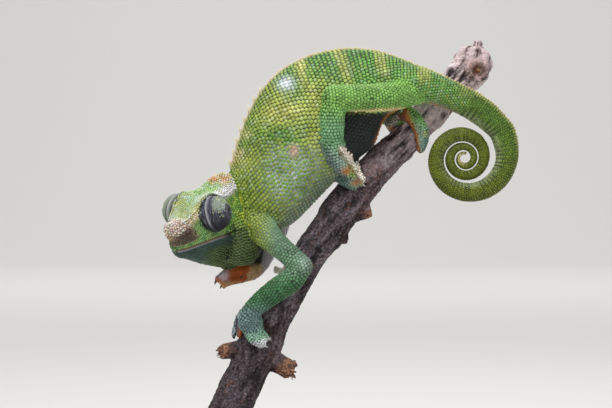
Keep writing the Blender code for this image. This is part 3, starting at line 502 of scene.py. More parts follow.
def toeForm(name, part, path, normals, root, tip, clawed=True):
    radii = ((np.linspace(root, tip, len(path)) - formLook["toeCoat"]) * mm).tolist()
    tubeForm(name, part, path, radii, radii, formLook["toe"][1], (False, True), normals)
    if clawed:
        heading = (path[-1] - path[-2]).normalized()
        claws.append((path[-1] + heading * radii[-1] * formLook["clawRoot"], heading, -normals[-1],
                      radii[-1]))


def makeBody():
    spineForm("trunk", "trunk", 0, trunk["trunkTo"], *formLook["trunk"], coatDepth)
    spineForm("tail", "tail", trunk["tailFrom"], spine[-1][0], *formLook["tail"],
              coatDepth * formLook["tailCoat"])
    rings = []
    count, around = formLook["neck"]
    for *above, column, row, depth, half, turn in spaced(neck["rows"], count):
        high, low = place(*above), place(column, row, depth)
        side = Vector((math.sin(math.radians(turn)), -math.cos(math.radians(turn)), 0))
        rings.append(oval((high + low) / 2, *thinner((high - low) / 2, side * half * mm, coatDepth),
                          neck["keel"], around))
    addForm("neck", "neck", rings)
    addForm("head", "head", [headRing(i / (head["rings"] - 1)) for i in range(head["rings"])])
    count, around = formLook["leg"]
    for name, leg in legs.items():
        for stretch, rows in leg.items():
            stations = spaced(rows, count)
            wide, thick = ([(s[k] - coatDepth * formLook["legCoat"]) * mm for s in stations]
                           for k in (3, 4))
            tubeForm(name + stretch.title(), name, [place(*s[:3]) for s in stations], thick, wide,
                     around)


def makeToes():
    count = formLook["toe"][0]
    for name, bundle in toes.items():
        for k, (spots, root, tip, clawed) in enumerate(bundle):
            lifts = np.linspace(root, tip, count).tolist()
            path, normals = zip(*[ontoPerch(*spot, lift)
                                  for spot, lift in zip(spaced(spots, count), lifts)])
            toeForm(f"{name}Toe{k}", name + "Foot", path, normals, root, tip, clawed)
    for name, (number, first, last) in grips.items():
        for k in range(number):
            path, normals = [], []
            for row, degrees, lift, gap in np.linspace(first, last, count).tolist():
                angle = math.radians(degrees)
                centre, radius, _, upperLeft = perchAt(row + (k - (number - 1) / 2) * gap)
                normals.append(towards * math.cos(angle) + upperLeft * math.sin(angle))
                path.append(centre + normals[-1] * (radius + (lift + perch["grip"]) * mm))
            toeForm(f"{name}Hidden{k}", name + "Foot", path, normals, first[2], last[2])
    for b, (spots, number, root, tip, gap) in enumerate(raisedToes):
        for k in range(number):
            offset = (k - (number - 1) / 2) * gap
            path = [place(column, row, depth + offset)
                    for column, row, depth in spaced(spots, count)]
            toeForm(f"raisedToe{b}{k}", "forelegRightFoot", path, [Vector((0, 0, 1))] * count,
                    root, tip)


def inScene(name, data):
    made = bpy.data.objects.new(name, data)
    bpy.context.scene.collection.objects.link(made)
    return made


def newPiece(name, mesh, material):
    piece = inScene(name, mesh)
    mesh.materials.clear()
    mesh.materials.append(material)
    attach(piece, "root")
    return piece


def meshOf(bm, name):
    mesh = bpy.data.meshes.new(name)
    bm.to_mesh(mesh)
    bm.free()
    return mesh


def closed(bm):           # open ends filled, and every face turned outwards
    bmesh.ops.holes_fill(bm, edges=[e for e in bm.edges if e.is_boundary], sides=0)
    bmesh.ops.recalc_face_normals(bm, faces=bm.faces)


def lofted(rings):        # one closed tube from rings of points
    bm = bmesh.new()
    loops = []
    for ring in rings:
        verts = bmesh.ops.create_circle(bm, segments=len(ring), radius=1)["verts"]
        for vertex, point in zip(verts, ring):
            vertex.co = point
        loops.append(list({edge for vertex in verts for edge in vertex.link_edges}))
    for low, high in zip(loops, loops[1:]):
        bmesh.ops.bridge_loops(bm, edges=low + high)
    closed(bm)
    return meshOf(bm, "loft")


def joined(meshes):
    bm = bmesh.new()
    for mesh in meshes:
        bm.from_mesh(mesh)
        bpy.data.meshes.remove(mesh)
    return meshOf(bm, "joined")


def fused(mesh, voxel, smoothing):        # one even skin over everything that overlaps
    holder = inScene("holder", mesh)
    remesh = holder.modifiers.new("remesh", "REMESH")
    remesh.mode = "VOXEL"
    remesh.voxel_size = voxel * mm
    remesh.use_smooth_shade = True
    if smoothing:
        smooth = holder.modifiers.new("smooth", "SMOOTH")
        smooth.factor = 0.5
        smooth.iterations = smoothing
    graph = bpy.context.evaluated_depsgraph_get()
    made = bpy.data.meshes.new_from_object(holder.evaluated_get(graph))
    bpy.data.objects.remove(holder)
    return made


def vertexArray(mesh):
    points = np.empty(len(mesh.vertices) * 3)
    mesh.vertices.foreach_get("co", points)
    return points.reshape(-1, 3)


def normalArray(mesh):
    normals = np.empty(len(mesh.vertices) * 3, np.float32)
    mesh.vertex_normals.foreach_get("vector", normals)
    return normals.reshape(-1, 3).astype(float)


def setVertices(mesh, points):
    mesh.vertices.foreach_set("co", points.ravel())
    mesh.update()


def grain(points, scale, seed=0, stretch=(1, 1, 1), octaves=3):     # soft noise, -1 to 1
    spots = points * np.array(stretch) * scale + seed
    return np.array([noise.fractal(p, 0.6, 2.0, octaves) for p in spots.tolist()])


print("forms")
makeBody()
makeToes()
print("forms:", len(forms), "rings:", sum(len(f["rings"]) for f in forms.values()))


# Skin: every form of flesh but the tail fused into one, then smoothed where limbs meet the body;
# the tail is a tube of its own

skinLook = {
    "voxel": 0.5, "smoothing": 6, "wrinkle": 0.05, "rim": 0.3, "bulge": 0.9,
    "creases": [     # how deep and wide, then columns and rows along it
        (0.45, 1.6, [(236.8, 191.7), (242.4, 210.3), (248.1, 223.3), (251.4, 233.8), (252.2, 246),
                     (255.4, 263.8)]),
        (0.6, 1.2, [(226.5, 234), (234, 231), (241.5, 230)])],
}


def step(x, low, high):
    t = np.clip((x - low) / (high - low), 0, 1)
    return t * t * (3 - 2 * t)


def bell(x, middle, width):
    return np.exp(-((x - middle) / width) ** 2)


def headSpace(points):
    inverse = np.array(headMatrix.inverted())
    return (points @ inverse[:3, :3].T + inverse[:3, 3]) / mm


def gazeOf(side):
    return Vector(turret["gazeLeft" if side > 0 else "gazeRight"]).normalized()


def turretSpace(points, side):      # distance from the turret's middle, 1 on its surface
    local = headSpace(points) - np.array(turret["centre"]) * (1, side, 1)
    gaze = np.array(headMatrix.to_3x3().inverted() @ gazeOf(side))
    ahead = local @ gaze
    beside = np.linalg.norm(local - np.outer(ahead, gaze), axis=1)
    return np.hypot(ahead / turret["along"], beside / turret["across"])


def headCurve(name, count=90):      # a line of the head as a smooth row of points
    return np.array(spaced(head["lines"][name], count))


def offSegment(points, a, b):      # the way from the nearest spot between a and b to each point
    share = np.clip(((points - a) @ (b - a)) / ((b - a) @ (b - a)), 0, 1)
    return points - a - share[:, None] * (b - a)


def mouthDistance(local):      # how far points in the head's frame are from the mouth line
    curve = headCurve("mouth")
    curve = curve[curve[:, 0] > head["mouthFrom"]]
    folded = local * np.array((1, 0, 1)) + np.abs(local) * np.array((0, 1, 0))
    gap = np.full(len(local), 99.0)
    above = np.zeros(len(local))
    for a, b in zip(curve, curve[1:]):
        off = offSegment(folded, a, b)
        far = np.linalg.norm(off, axis=1)
        closer = far < gap
        gap[closer] = far[closer]
        above[closer] = off[closer, 2]
    return gap, above


def headLine(name, forward):      # how far out and up a line of the head runs at each place
    line = headCurve(name)
    return np.interp(forward, line[:, 0], line[:, 1]), np.interp(forward, line[:, 0], line[:, 2])


def headZones(local):
    forward, aside, up = local[:, 0], np.abs(local[:, 1]), local[:, 2]
    gap, above = mouthDistance(local)
    crestAside, crestUp = headLine("orbit", forward)
    _, lipUp = headLine("mouth", forward)
    offCrest = np.hypot(aside - crestAside, up - crestUp)
    zones = {
        "roof": step(up - crestUp, -0.2, 0.6) * step(crestAside + 0.7 - aside, 0, 0.7)
        + step(crestAside - aside, 0.6, 1.4) * step(up, 0.5, 1.5) * step(up - crestUp, 0.6, -0.2),
        "snout": step(up - crestUp, -0.3, 0.4) * step(forward, -3.5, 0.5),
        "casque": step(-forward, 9, 11.5) * step(up, 3.3, 4.5),
        "rim": bell(offCrest, 0, 1) * step(-forward, 4.5, 7),
        "ridge": bell(offCrest, 0, 1.35) * step(forward, 0.6, 2.4),
        "rostral": step(forward - 0.35 * np.clip(up + 1, -9, 9), 7, 9.8) * step(up, -5.4, -4.4)
        * step(3 - up, 0, 1),
        "brow": bell(offCrest, 0, 0.9) * bell(forward, -1, 4),
        "jaw": step(lipUp - up, -0.1, 0.25),
        "lip": bell(gap, 0.4, 0.26) * (above > 0) * step(forward, -12.5, -10),
        # a dark line along the rear of the mouth: painted shade in its groove
        "slitShade": bell(gap, 0, 0.42) * step(-forward, 3.6, 5.5) * step(forward, -13, -11.5),
        "lipLine": bell(gap, 0.26, 0.15) * (above <= 0) * step(forward, -4.5, -1.5),
    }
    zones["throat"] = zones["jaw"] * step(-forward, -6.5, -2.5) * step(lipUp - up, 2, 3.6)
    zones["throat"] = np.clip(zones["throat"] + zones["jaw"] * step(-forward, 7, 11), 0, 1)
    zones["roof"] *= 1 - zones["jaw"]
    return forward, aside, up, zones


def creaseShares(points, normals):      # how near each point is to folds on the near side
    spots = np.stack(onGrid(points), axis=1)
    shares = []
    for _, wide, line in skinLook["creases"]:
        gap = np.full(len(points), 99.0)
        for a, b in zip(np.array(line), np.array(line[1:])):
            gap = np.minimum(gap, np.linalg.norm(offSegment(spots, a, b), axis=1))
        shares.append(bell(gap, 0, wide) * (normals[:, 1] < 0.1))
    return shares


def makeSkin():
    mesh = fused(joined([lofted(f["rings"]) for n, f in forms.items() if n != "tail"]),
                 skinLook["voxel"], skinLook["smoothing"])
    bm = bmesh.new()
    bm.from_mesh(mesh)
    bm.verts.ensure_lookup_table()
    points = vertexArray(mesh)
    local = headSpace(points)
    fine = (mouthDistance(local)[0] < 1.6) | (local[:, 0] > 6)
    for side in (1, -1):
        fine |= turretSpace(points, side) < 1.3
    fine &= (local > (-13, -9.5, -13)).all(axis=1) & (local[:, 1] < 9.5) & (local[:, 2] < 8)
    edges = [e for e in bm.edges if fine[e.verts[0].index] and fine[e.verts[1].index]]
    bmesh.ops.subdivide_edges(bm, edges=edges, cuts=1, use_grid_fill=True, smooth=0.6)
    bm.to_mesh(mesh)
    bm.free()
    points, normals = vertexArray(mesh), normalArray(mesh)
    local = headSpace(points)
    inHead = (local[:, 0] > -14) & (np.abs(local[:, 1]) < 10) & (local[:, 2] > -14)
    push = np.zeros(len(points))
    gap = mouthDistance(local)[0]
    mouthed = inHead & (gap < 3)
    fade = np.clip((local[mouthed, 0] - head["mouthFrom"]) / 4.5, 0, 1)
    push[mouthed] -= head["mouthDepth"] * fade * bell(gap[mouthed], 0, head["mouthWidth"])
    push[mouthed] += head["lipSwell"] * bell(gap[mouthed], 0.75, 0.4)
    for side in (1, -1):
        near = turretSpace(points, side)
        push += skinLook["rim"] * bell(near, 1.13, 0.07) * (near > 0.98)
        push[near < 1] -= 0.8
        nostril = np.array(head["nostril"]) * (1, side, 1)
        off = np.linalg.norm(local - nostril, axis=1)
        push -= 0.5 * bell(off, 0, head["nostrilSize"])
        push += 0.18 * bell(off, 1, 0.3)
    bulge = headZones(local)[3]["rostral"] * inHead
    push += skinLook["bulge"] * bulge * (step(-normals[:, 1], 0.2, 0.75) * 1.5 - 0.65)
    push += skinLook["wrinkle"] * grain(points, 700, 3)
    for (deep, _, _), share in zip(skinLook["creases"], creaseShares(points, normals)):
        push -= deep * share
    setVertices(mesh, points + normals * push[:, None] * mm)
    return mesh


print("skin")
skinMesh = makeSkin()
tailMesh = lofted(forms["tail"]["rings"])
print("skin triangles:", sum(len(p.vertices) - 2 for p in skinMesh.polygons),
      sum(len(p.vertices) - 2 for p in tailMesh.polygons))


# Scales: rows of low domes laid along each form, spread evenly and set down on the skin

scaleLook = {
    "pitch": {"trunk": 1.18, "tail": 0.84, "neck": 0.96, "head": 0.86, "foreleg": 0.98,
              "hindleg": 0.98, "foot": 0.78},
    "height": {"trunk": 0.26, "tail": 0.2, "neck": 0.26, "head": 0.24, "foreleg": 0.22,
               "hindleg": 0.21, "foot": 0.16},
    "width": 0.485, "rowGap": 0.9, "jitter": 0.05, "closest": 0.62, "strayFrom": 1.1,
    "holeFrom": 0.8, "rounds": 9, "perPiece": 4000, "patch": 0.003, "seed": 11,
    "ridges": [     # line of the head, lift, first and last place, pitch, height, part of width
        ("orbit", 0, -16.6, -3.8, 0.86, 1.7, 1), ("orbit", 0.1, 2.2, 12.4, 0.8, 2.7, 1.06),
        ("orbit", -0.65, 3.2, 11.6, 0.76, 2.2, 1.05), ("orbit", -1.3, 4.4, 11, 0.74, 1.8, 1),
        ("brow", 0.2, 2.6, 11.6, 0.78, 2.2, 1.05),
        ("mouth", 0.52, -10.5, 12.6, 0.5, 1, 1), ("mouth", -0.62, -3.5, 12.4, 0.52, 0.6, 1)],
}


def kindOf(part):
    if part.endswith("Foot"):
        return "foot"
    return next((k for k in ("foreleg", "hindleg") if part.startswith(k)), part)


def smooth(x, low, high):
    t = min(max((x - low) / (high - low), 0), 1)
    return t * t * (3 - 2 * t)


def pitchAt(part, t, angle):
    pitch = scaleLook["pitch"][kindOf(part)]
    if part == "trunk":
        high = math.cos(angle)
        pitch *= 1 + 0.12 * math.sin(math.pi * min(t * 1.6, 1)) - 0.26 * max(high, 0) ** 3
        pitch *= 1 - 0.18 * max(-high, 0) ** 4 - 0.28 * smooth(t, 0.5, 1)
    if part == "tail":
        pitch *= 1 - 0.45 * t
    if part == "head":
        bulge, low = smooth(t, 0.8, 0.88), smooth(-math.cos(angle), 0.35, 0.7)
        pitch *= 0.92 + 0.06 * bulge * (1 - low) + 0.3 * low * (1 - t) \
            - 0.14 * smooth(t, 0.3, 0.5) * (1 - low)
    return pitch * mm


def layRows(form):      # places along a form: point, share along it, angle, direction
    rings, part = form["rings"], form["part"]
    walk = walked(rings.mean(axis=1))
    total = walk[-1]
    count = rings.shape[1]
    angles = 2 * math.pi * np.arange(count + 1) / count
    s, row, laid = 0.2 * mm, 0, []
    while s < total - 0.1 * mm:
        t = s / total
        i = min(int(np.searchsorted(walk, s, "right")) - 1, len(walk) - 2)
        f = (s - walk[i]) / (walk[i + 1] - walk[i])
        ring = rings[i] * (1 - f) + rings[i + 1] * f
        ahead = rings[i + 1] - rings[i]
        ring = np.vstack([ring, ring[:1]])
        ahead = np.vstack([ahead, ahead[:1]])
        around = walked(ring)
        spot = (0.5 if row % 2 else 0) * pitchAt(part, t, 0)
        while spot < around[-1] - 0.3 * mm:
            angle = float(np.interp(spot, around, angles))
            laid.append((between(spot, around, ring), t, angle, between(spot, around, ahead)))
            spot += pitchAt(part, t, angle)
        s += pitchAt(part, t, math.pi / 2) * scaleLook["rowGap"]
        row += 1
    return laid


class Crowd:        # places in small cells, to ask quickly whether one is near another
    def __init__(self):
        self.cells = {}

    def cell(self, point):
        return tuple(int(c // (1.5 * mm)) for c in point)

    def near(self, point, reach):
        x, y, z = self.cell(point)
        return any(math.dist(other, point) < reach
                   for dx in (-1, 0, 1) for dy in (-1, 0, 1) for dz in (-1, 0, 1)
                   for other in self.cells.get((x + dx, y + dy, z + dz), ()))

    def add(self, point):
        self.cells.setdefault(self.cell(point), []).append(tuple(point))


def faceTree(mesh):
    return BVHTree.FromPolygons([tuple(p) for p in vertexArray(mesh)],
                                [tuple(f.vertices) for f in mesh.polygons])


def treeOf(points):
    tree = KDTree(len(points))
    for i, p in enumerate(points.tolist()):
        tree.insert(p, i)
    tree.balance()
    return tree


def soleColumn(row):      # where the inner edge of the far hind foot shows on the grid
    return np.interp(row, (112, 122, 135, 150), (405, 409, 415, 417))


def bare(part, points, normals):      # palms, soles and other places where the skin is smooth
    column, row = onGrid(points)
    if part == "forelegRightFoot":
        return normals[:, 1] < 0.35
    if part == "forelegRight":
        return (row > 236) & (normals[:, 1] < 0.3)
    if part == "hindlegRightFoot":
        return (column < soleColumn(row) + 2.5) & (column > 399)
    if part == "forelegLeftFoot":
        return (column < 243) & (column > 235.5) & (row > 318)
    return np.zeros(len(points), bool)


def headRows(tree, crowd, kept):      # rows that follow the ridges and lips of the head
    for name, lift, first, last, pitch, tall, wide in scaleLook["ridges"]:
        curve = headCurve(name, 400)
        curve = curve[(curve[:, 0] >= first) & (curve[:, 0] <= last)]
        walk = walked(curve)
        for side in (1, -1):
            for spot in np.arange(0, walk[-1], pitch):
                x, y, z = between(spot, walk, curve)
                ahead = np.interp(spot + 0.3, walk, curve[:, 0]) - x
                found = tree.find_nearest(headMatrix @ (Vector((x, side * y, z + lift)) * mm))[0]
                if crowd.near(found, 0.6 * pitch * mm):
                    continue
                along = headMatrix.to_3x3() @ Vector((ahead + 0.01, 0, 0))
                crowd.add(found)
                kept.append((tuple(found), tuple(along), (x + 17.6) / 30.6, 0, pitch * mm, "head",
                             tall, wide, 0.12))


def settleRows(which, tree):       # rows of every form of one skin, without strays or crowding
    draw = random.Random(scaleLook["seed"] + which)
    crowd, kept = Crowd(), []
    if which == 0:
        headRows(tree, crowd, kept)
    names = [n for n, f in forms.items() if (f["part"] == "tail") == (which == 1)]
    names.sort(key=lambda n: (forms[n]["part"] != "head", "Foot" in forms[n]["part"],
                              forms[n]["part"] in ("trunk", "neck")))
    for name in names:
        part = forms[name]["part"]
        for point, t, angle, along in layRows(forms[name]):
            if part == "tail" and t < trunk["tailBare"]:
                continue
            pitch = pitchAt(part, t, angle)
            shift = np.array([draw.gauss(0, 1) for _ in range(3)]) * scaleLook["jitter"] * pitch
            found, _, _, gap = tree.find_nearest(Vector(point + shift))
            if found is None or gap > scaleLook["strayFrom"] * mm:
                continue
            if crowd.near(found, scaleLook["closest"] * pitch):
                continue
            crowd.add(found)
            kept.append((tuple(found), tuple(along), t, angle, pitch, name, 1, 1, 1))
    return kept, crowd


def fillHoles(kept, crowd, spots):     # more scales where the rows have left the skin open
    tree = treeOf(np.array([k[0] for k in kept]))
    openSpots = []
    for spot in spots.tolist():
        _, i, gap = tree.find(spot)
        if scaleLook["holeFrom"] * kept[i][4] < gap < 4 * mm:
            openSpots.append((gap, spot, i))
    openSpots.sort(key=lambda o: -o[0])
    for gap, spot, i in openSpots:
        if not crowd.near(spot, scaleLook["holeFrom"] * kept[i][4]):
            crowd.add(spot)
            kept.append((tuple(spot), *kept[i][1:6], 1, 1, 1))


def spreadOut(points, pitch, loose, tree, rounds):      # each moves away from its neighbours
    for _ in range(rounds):
        around = treeOf(points)
        near = np.array([[i for _, i, _ in around.find_n(p, 8)][1:] for p in points.tolist()])
        away = points[:, None] - points[near]
        far = np.linalg.norm(away, axis=2)
        room = (pitch[:, None] + pitch[near]) / 2 * 1.04
        push = np.clip(room - far, 0, None) / room
        moves = (away / (far[..., None] + 1e-9) * (push * room * 0.42)[..., None]).sum(axis=1)
        moves *= loose[:, None]
        points = np.array([tuple(tree.find_nearest(Vector(p))[0]) for p in points + moves])
    return points


def settle(which, mesh, spots):
    tree = faceTree(mesh)
    kept, crowd = settleRows(which, tree)
    rows = len(kept)
    fillHoles(kept, crowd, spots)
    print("scales in rows:", rows, "with holes filled:", len(kept))
    points = np.array([k[0] for k in kept])
    pitch, loose = np.array([k[4] for k in kept]), np.array([k[8] for k in kept])
    points = spreadOut(points, pitch, loose, tree, scaleLook["rounds"])
    nearest = treeOf(points)
    alone = np.array([nearest.find_n(p, 2)[1][2] for p in points.tolist()]) > 0.55 * pitch
    alone |= loose < 1
    points = spreadOut(points[alone], pitch[alone], loose[alone], tree, 3)
    found = [tree.find_nearest(Vector(p)) for p in points]
    names = ("", "along", "t", "angle", "pitch", "form", "tall", "wide", "")
    rest = zip(*[k for k, stays in zip(kept, alone) if stays])
    laid = {key: np.array(values) for key, values in zip(names, rest) if key}
    laid["point"], laid["normal"] = (np.array([tuple(f[k]) for f in found]) for k in (0, 1))
    laid["part"] = np.array([forms[name]["part"] for name in laid.pop("form")])
    laid["kind"] = np.array([kindOf(part) for part in laid["part"]])
    smooth = np.zeros(len(points), bool)
    for part in set(laid["part"]):
        chosen = laid["part"] == part
        smooth[chosen] = bare(part, laid["point"][chosen], laid["normal"][chosen])
    if which == 0:
        local = headSpace(laid["point"])
        gap, _ = mouthDistance(local)
        row = laid["tall"] != 1
        smooth |= (gap < np.where(row, 0.2, 0.75)) & (laid["kind"] == "head") & (local[:, 0] > -5)
        for side in (1, -1):
            smooth |= turretSpace(laid["point"], side) < 1.04
            off = np.linalg.norm(local - np.array(head["nostril"]) * (1, side, 1), axis=1)
            smooth |= off < 0.5
    return laid, smooth


# Colours: one painter for scales and skin, in the species' greens

# The *Gap hues are the skin between the scales: its own colour, darkened away from the pale net by
# painted shade in the gaps
hues = {
    "flank": (136, 156, 66), "flankGap": (60, 74, 36), "lavender": (222, 226, 228),
    "back": (102, 152, 72), "backGap": (40, 72, 30), "olive": (186, 184, 96),
    "deep": (82, 128, 50), "shoulder": (114, 144, 50), "shoulderGap": (26, 40, 12),
    "band": (186, 186, 104), "belly": (128, 146, 128), "bellyGap": (100, 100, 108),
    # the first hue on the next line is a painted shade for the rear belly and beside the throat
    "shadowGreen": (26, 34, 32), "vent": (190, 116, 48),
    "thigh": (124, 172, 84), "thighGap": (44, 84, 34), "shin": (118, 168, 118),
    "shinGap": (42, 80, 50), "arm": (100, 136, 104), "armGap": (34, 52, 34),
    "forearm": (64, 112, 70), "forearmGap": (12, 34, 16),
    "foot": (126, 150, 158), "footGap": (58, 70, 70), "white": (255, 244, 230),
    "palm": (186, 86, 16), "palmEdge": (232, 190, 132), "sole": (206, 120, 44),
    "tail": (86, 120, 38), "tailGap": (32, 56, 16), "coil": (100, 112, 20),
    "coilGap": (26, 32, 4), "coilInside": (140, 150, 108),
    "roof": (140, 180, 104), "roofGap": (84, 116, 58), "snout": (164, 174, 112),
    "snoutPale": (192, 208, 202), "temple": (112, 152, 58), "templeGap": (52, 84, 28),
    "casque": (214, 112, 78), "casqueTip": (232, 216, 178), "rim": (228, 222, 232),
    "rimGap": (160, 140, 160), "ridge": (220, 198, 162), "ridgeGap": (120, 96, 62),
    "rostral": (186, 150, 126), "rostralGap": (128, 98, 78), "cheek": (128, 176, 108),
    "cheekGap": (66, 104, 58), "lip": (146, 100, 72), "lipLine": (226, 222, 244),
    # the first two hues on the next line are the jaw's green darkened: painted shade under the head
    "jaw": (58, 82, 72), "jawGap": (44, 66, 56), "throat": (86, 106, 60),
    "throatGap": (12, 20, 14), "neck": (108, 132, 38), "neckGap": (18, 34, 4),
    # the first hue on the next line is a painted shade for the far foreleg
    "farArmShade": (40, 44, 42), "crease": (208, 204, 66), "cream": (234, 216, 160),
    "crest": (216, 206, 130),
    "blush": (220, 160, 156), "pale": (220, 228, 240), "violet": (60, 64, 80),
    "violetDark": (26, 26, 38), "violetLight": (156, 160, 176), "lidGreen": (174, 192, 162),
    "eyeDark": (8, 7, 9), "eyeGold": (150, 110, 48), "bark": (104, 92, 98),
    "barkDark": (40, 33, 37), "barkPale": (152, 140, 148), "barkRust": (136, 84, 54),
    "stub": (196, 142, 110), "knob": (250, 226, 228), "heart": (140, 74, 30),
    "shade": (76, 64, 66),
}
hues = {name: np.array(linear(*value)) for name, value in hues.items()}

# Places on the flanks: column, row, how wide and high, hue of the scales, its share, hue of
# the skin between them, its share
patches = [
    (282, 111, 26, 12, "band", 0.8, "olive", 0.35),
    (278, 137, 26, 10, "deep", 0.95, "backGap", 0.5),
    (290, 176, 34, 30, "deep", 0.35, "flankGap", 0.3),
    (250, 166, 12, 10, "olive", 0.5, "crest", 0.3),
    (244, 130, 9, 26, "deep", 0.6, "backGap", 0.6), (258, 104, 9, 10, "deep", 0.5, "backGap", 0.4),
    (286, 84, 7.5, 6.5, "pale", 1, "pale", 0.9), (294, 152, 4, 6, "blush", 1, "blush", 1),
    (302, 66, 4, 9, "crest", 0.6, "crest", 0.4), (315, 140, 8, 14, "olive", 0.4, "vent", 0.2),
    (262, 200, 12, 14, "olive", 0.3, "blush", 0.3),
    (318, 92, 14, 16, "olive", 0.5, "flankGap", 0.3),
    (300, 214, 22, 10, "belly", 0.6, "lavender", 0.4),
    (250, 196, 15, 20, "shoulder", 0.5, "shoulderGap", 0.9),
    (268, 214, 12, 12, "shoulder", 0.4, "shoulderGap", 0.8),
    (238, 156, 8, 7, "cream", 0.6, "vent", 0.45), (245, 134, 6, 6, "cream", 0.4, "crest", 0.3),
]


def blend(a, b, share):
    a = hues[a] if isinstance(a, str) else a
    b = hues[b] if isinstance(b, str) else b
    return a + (b - a) * share[:, None]


def layered(tint, *layers):      # one hue after another laid over a tint, each with its share
    for hue, share in layers:
        tint = blend(tint, hue, share)
    return tint


class Coat:        # colours of the scales on top and of the skin in the gaps between them
    def __init__(self, share, top, otherTop, gap, otherGap, gapShare=None):
        self.top = blend(top, otherTop, share)
        self.gap = blend(gap, otherGap, share if gapShare is None else gapShare)

    def over(self, share, hue):
        self.top = blend(self.top, hue, share)

    def under(self, share, hue):
        self.gap = blend(self.gap, hue, share)

    def lay(self, share, hue, much=1, gapHue=None, gapMuch=None):
        self.over(share * much, hue)
        self.under(share * (much if gapMuch is None else gapMuch), gapHue or hue)

    def mottle(self, wave, fleck, waveShare, fleckShare, gapShare):
        self.top *= (1 + waveShare * wave + fleckShare * fleck)[:, None]
        self.gap *= (1 + gapShare * wave)[:, None]


def netShare(column, row):      # where the skin between the scales makes a pale net
    return np.exp(-((column - 292) / 34) ** 4 - ((row - 177) / 30) ** 4)


def dot(column, row, middle, level, wide, squash=1):      # a soft round patch
    return bell(np.hypot((column - middle) * squash, row - level), 0, wide)


backLine = {}


def backColumn(t):      # the grid column on the back that a share of the trunk's length has
    if not backLine:
        rings = forms["trunk"]["rings"]
        walk = walked(rings.mean(axis=1))
        backLine["share"] = walk / walk[-1]
        backLine["column"] = onGrid(rings[:, 0])[0]
    return np.interp(t, backLine["share"], backLine["column"])


# A painter takes depth, normals, share of the length, angle round it, column, row, noise, part

def paintTrunk(far, normals, t, angle, column, row, wave, part):
    high = np.cos(angle)
    along = backColumn(t)
    upper = step(high, -0.15, 0.65)
    coat = Coat(np.clip(upper * step(along, 262, 300) + step(along, 320, 370), 0, 1),
                "flank", "back", "flankGap", "backGap",
                np.clip(upper + step(along, 310, 360), 0, 1))
    bands = step(np.sin((along - 327) * 2 * math.pi / 43 + 0.5 * wave), 0.3, 0.95)
    bands *= step(along, 285, 300)
    coat.over(bands * step(high, -0.1, 0.5) * 0.6, "band")
    coat.under(bands * step(high, 0, 0.6) * 0.35, "olive")
    for middle, level, wide, tall, *hueShares in patches:
        share = np.exp(-((column - middle) / wide) ** 2 - ((row - level) / tall) ** 2)
        coat.lay(np.clip(share * (1 + 0.5 * wave), 0, 1), *hueShares)
    net = netShare(column, row)
    coat.over(net * 0.65, "deep")
    coat.under(net * np.clip(0.95 + 0.6 * wave, 0, 1), "lavender")
    coat.lay(step(-high, 0.7, 0.95), "belly", 0.8, "bellyGap", 1)
    # near-black green over the rear of the belly: painted shade
    coat.lay(step(column, 338, 344) * step(row, 108, 116), "shadowGreen", 1, "shadowGreen", 0.9)
    coat.lay(bell(high, -1, 0.06) * step(along, 340, 352), "vent", 0.8, "vent", 0.7)
    coat.lay(step(along, 440, 476), "tail", 0.8, "tailGap")
    coat.lay(step(along, 246, 232) * step(high, 1.1, 0.2), "neck", 0.8, "neckGap", 1)
    ridge = bell(angle, 0, 0.1) + bell(angle, 2 * math.pi, 0.1)
    coat.over(np.clip(ridge, 0, 1) * 0.7, "crest")
    return coat


def paintNeck(far, normals, t, angle, column, row, wave, part):
    coat = Coat(0.5 + 0.5 * wave, "neck", "shoulder", "neckGap", "shoulderGap", 0 * wave + 0.5)
    coat.lay(step(row, 214, 236), "throat", 1, "throatGap")
    # near-black green between the throat and the foreleg: painted shade
    coat.over(step(column - (row - 223) * 0.3, 247, 253) * step(row, 222, 232) * 0.7, "shadowGreen")
    creaseColumn = np.interp(row, (186, 192, 210, 223, 240), (235, 237, 242, 248, 252))
    crease = bell(column, creaseColumn, 2.6) * step(row, 186, 192) * step(row, 232, 220)
    coat.lay(crease, "crease", 0.95, "crease", 0.6)
    return coat


def paintTail(far, normals, t, angle, column, row, wave, part):
    high = np.cos(angle)
    coiled = step(t, 0.1, 0.34)
    coat = Coat(coiled, "tail", "coil", "tailGap", "coilGap")
    coat.lay(step(-high, 0.35, 0.85) * step(0.75 - t, 0, 0.4), "coilInside", 0.7, "coilInside", 0.4)
    # dark bands across the underside of the coil: painted shade of wrinkles
    foldShade = step(np.sin(t * 560 + 2.5 * wave), 0.1, 0.8) * step(-high, -0.35, 0.5)
    coat.lay(foldShade, "coilGap", 0.65, "coilGap", 0.5)
    streak = step(np.sin(angle * 17 + 3 * wave), 0.2, 0.9) * step(high, 0.1, 0.5)
    coat.over(streak * 0.35, "coilGap")
    coat.over(bell(high, 0.75, 0.14) * bell(t, 0.06, 0.04) * np.clip(4 * wave, 0, 0.7), "heart")
    coat.over(bell(high, 0.88, 0.12) * 0.5 * (1 - coiled), "band")
    coat.over(step(t, 0.93, 0.985) * step(-high, -0.6, 0.4) * 0.7, "cream")
    coat.over(step(high, 0.965, 0.995) * step(0.34 - t, 0, 0.1) * 0.8, "cream")
    return coat


def paintHeel(coat, column, row, normals, near=1):     # the near hind foot's pale edge and patches
    facing = step(-normals[:, 1], -0.3, 0.1) * step(row, 144, 149) * step(column, 335, 341) * near
    slope = (row - 147) - (column - 342) * 1.42
    # the lower left of the pad darkened to violet: painted shade
    coat.lay(step(slope, 18, 28) * near, "violet", 0.5, "violet", 0.4)
    coat.lay(bell(slope, 8.5, 2.6) * facing, "heart", 0.45, "sole", 0.55)
    coat.lay(step(slope, 8, 2.5) * facing, "white", 0.95, "vent", 0.45)
    for middle, level, wide, hue in ((346.5, 171, 3.6, "sole"), (356, 182.5, 4, "heart")):
        coat.lay(dot(column, row, middle, level, wide, 0.8) * facing, hue, 0.95, hue, 0.9)


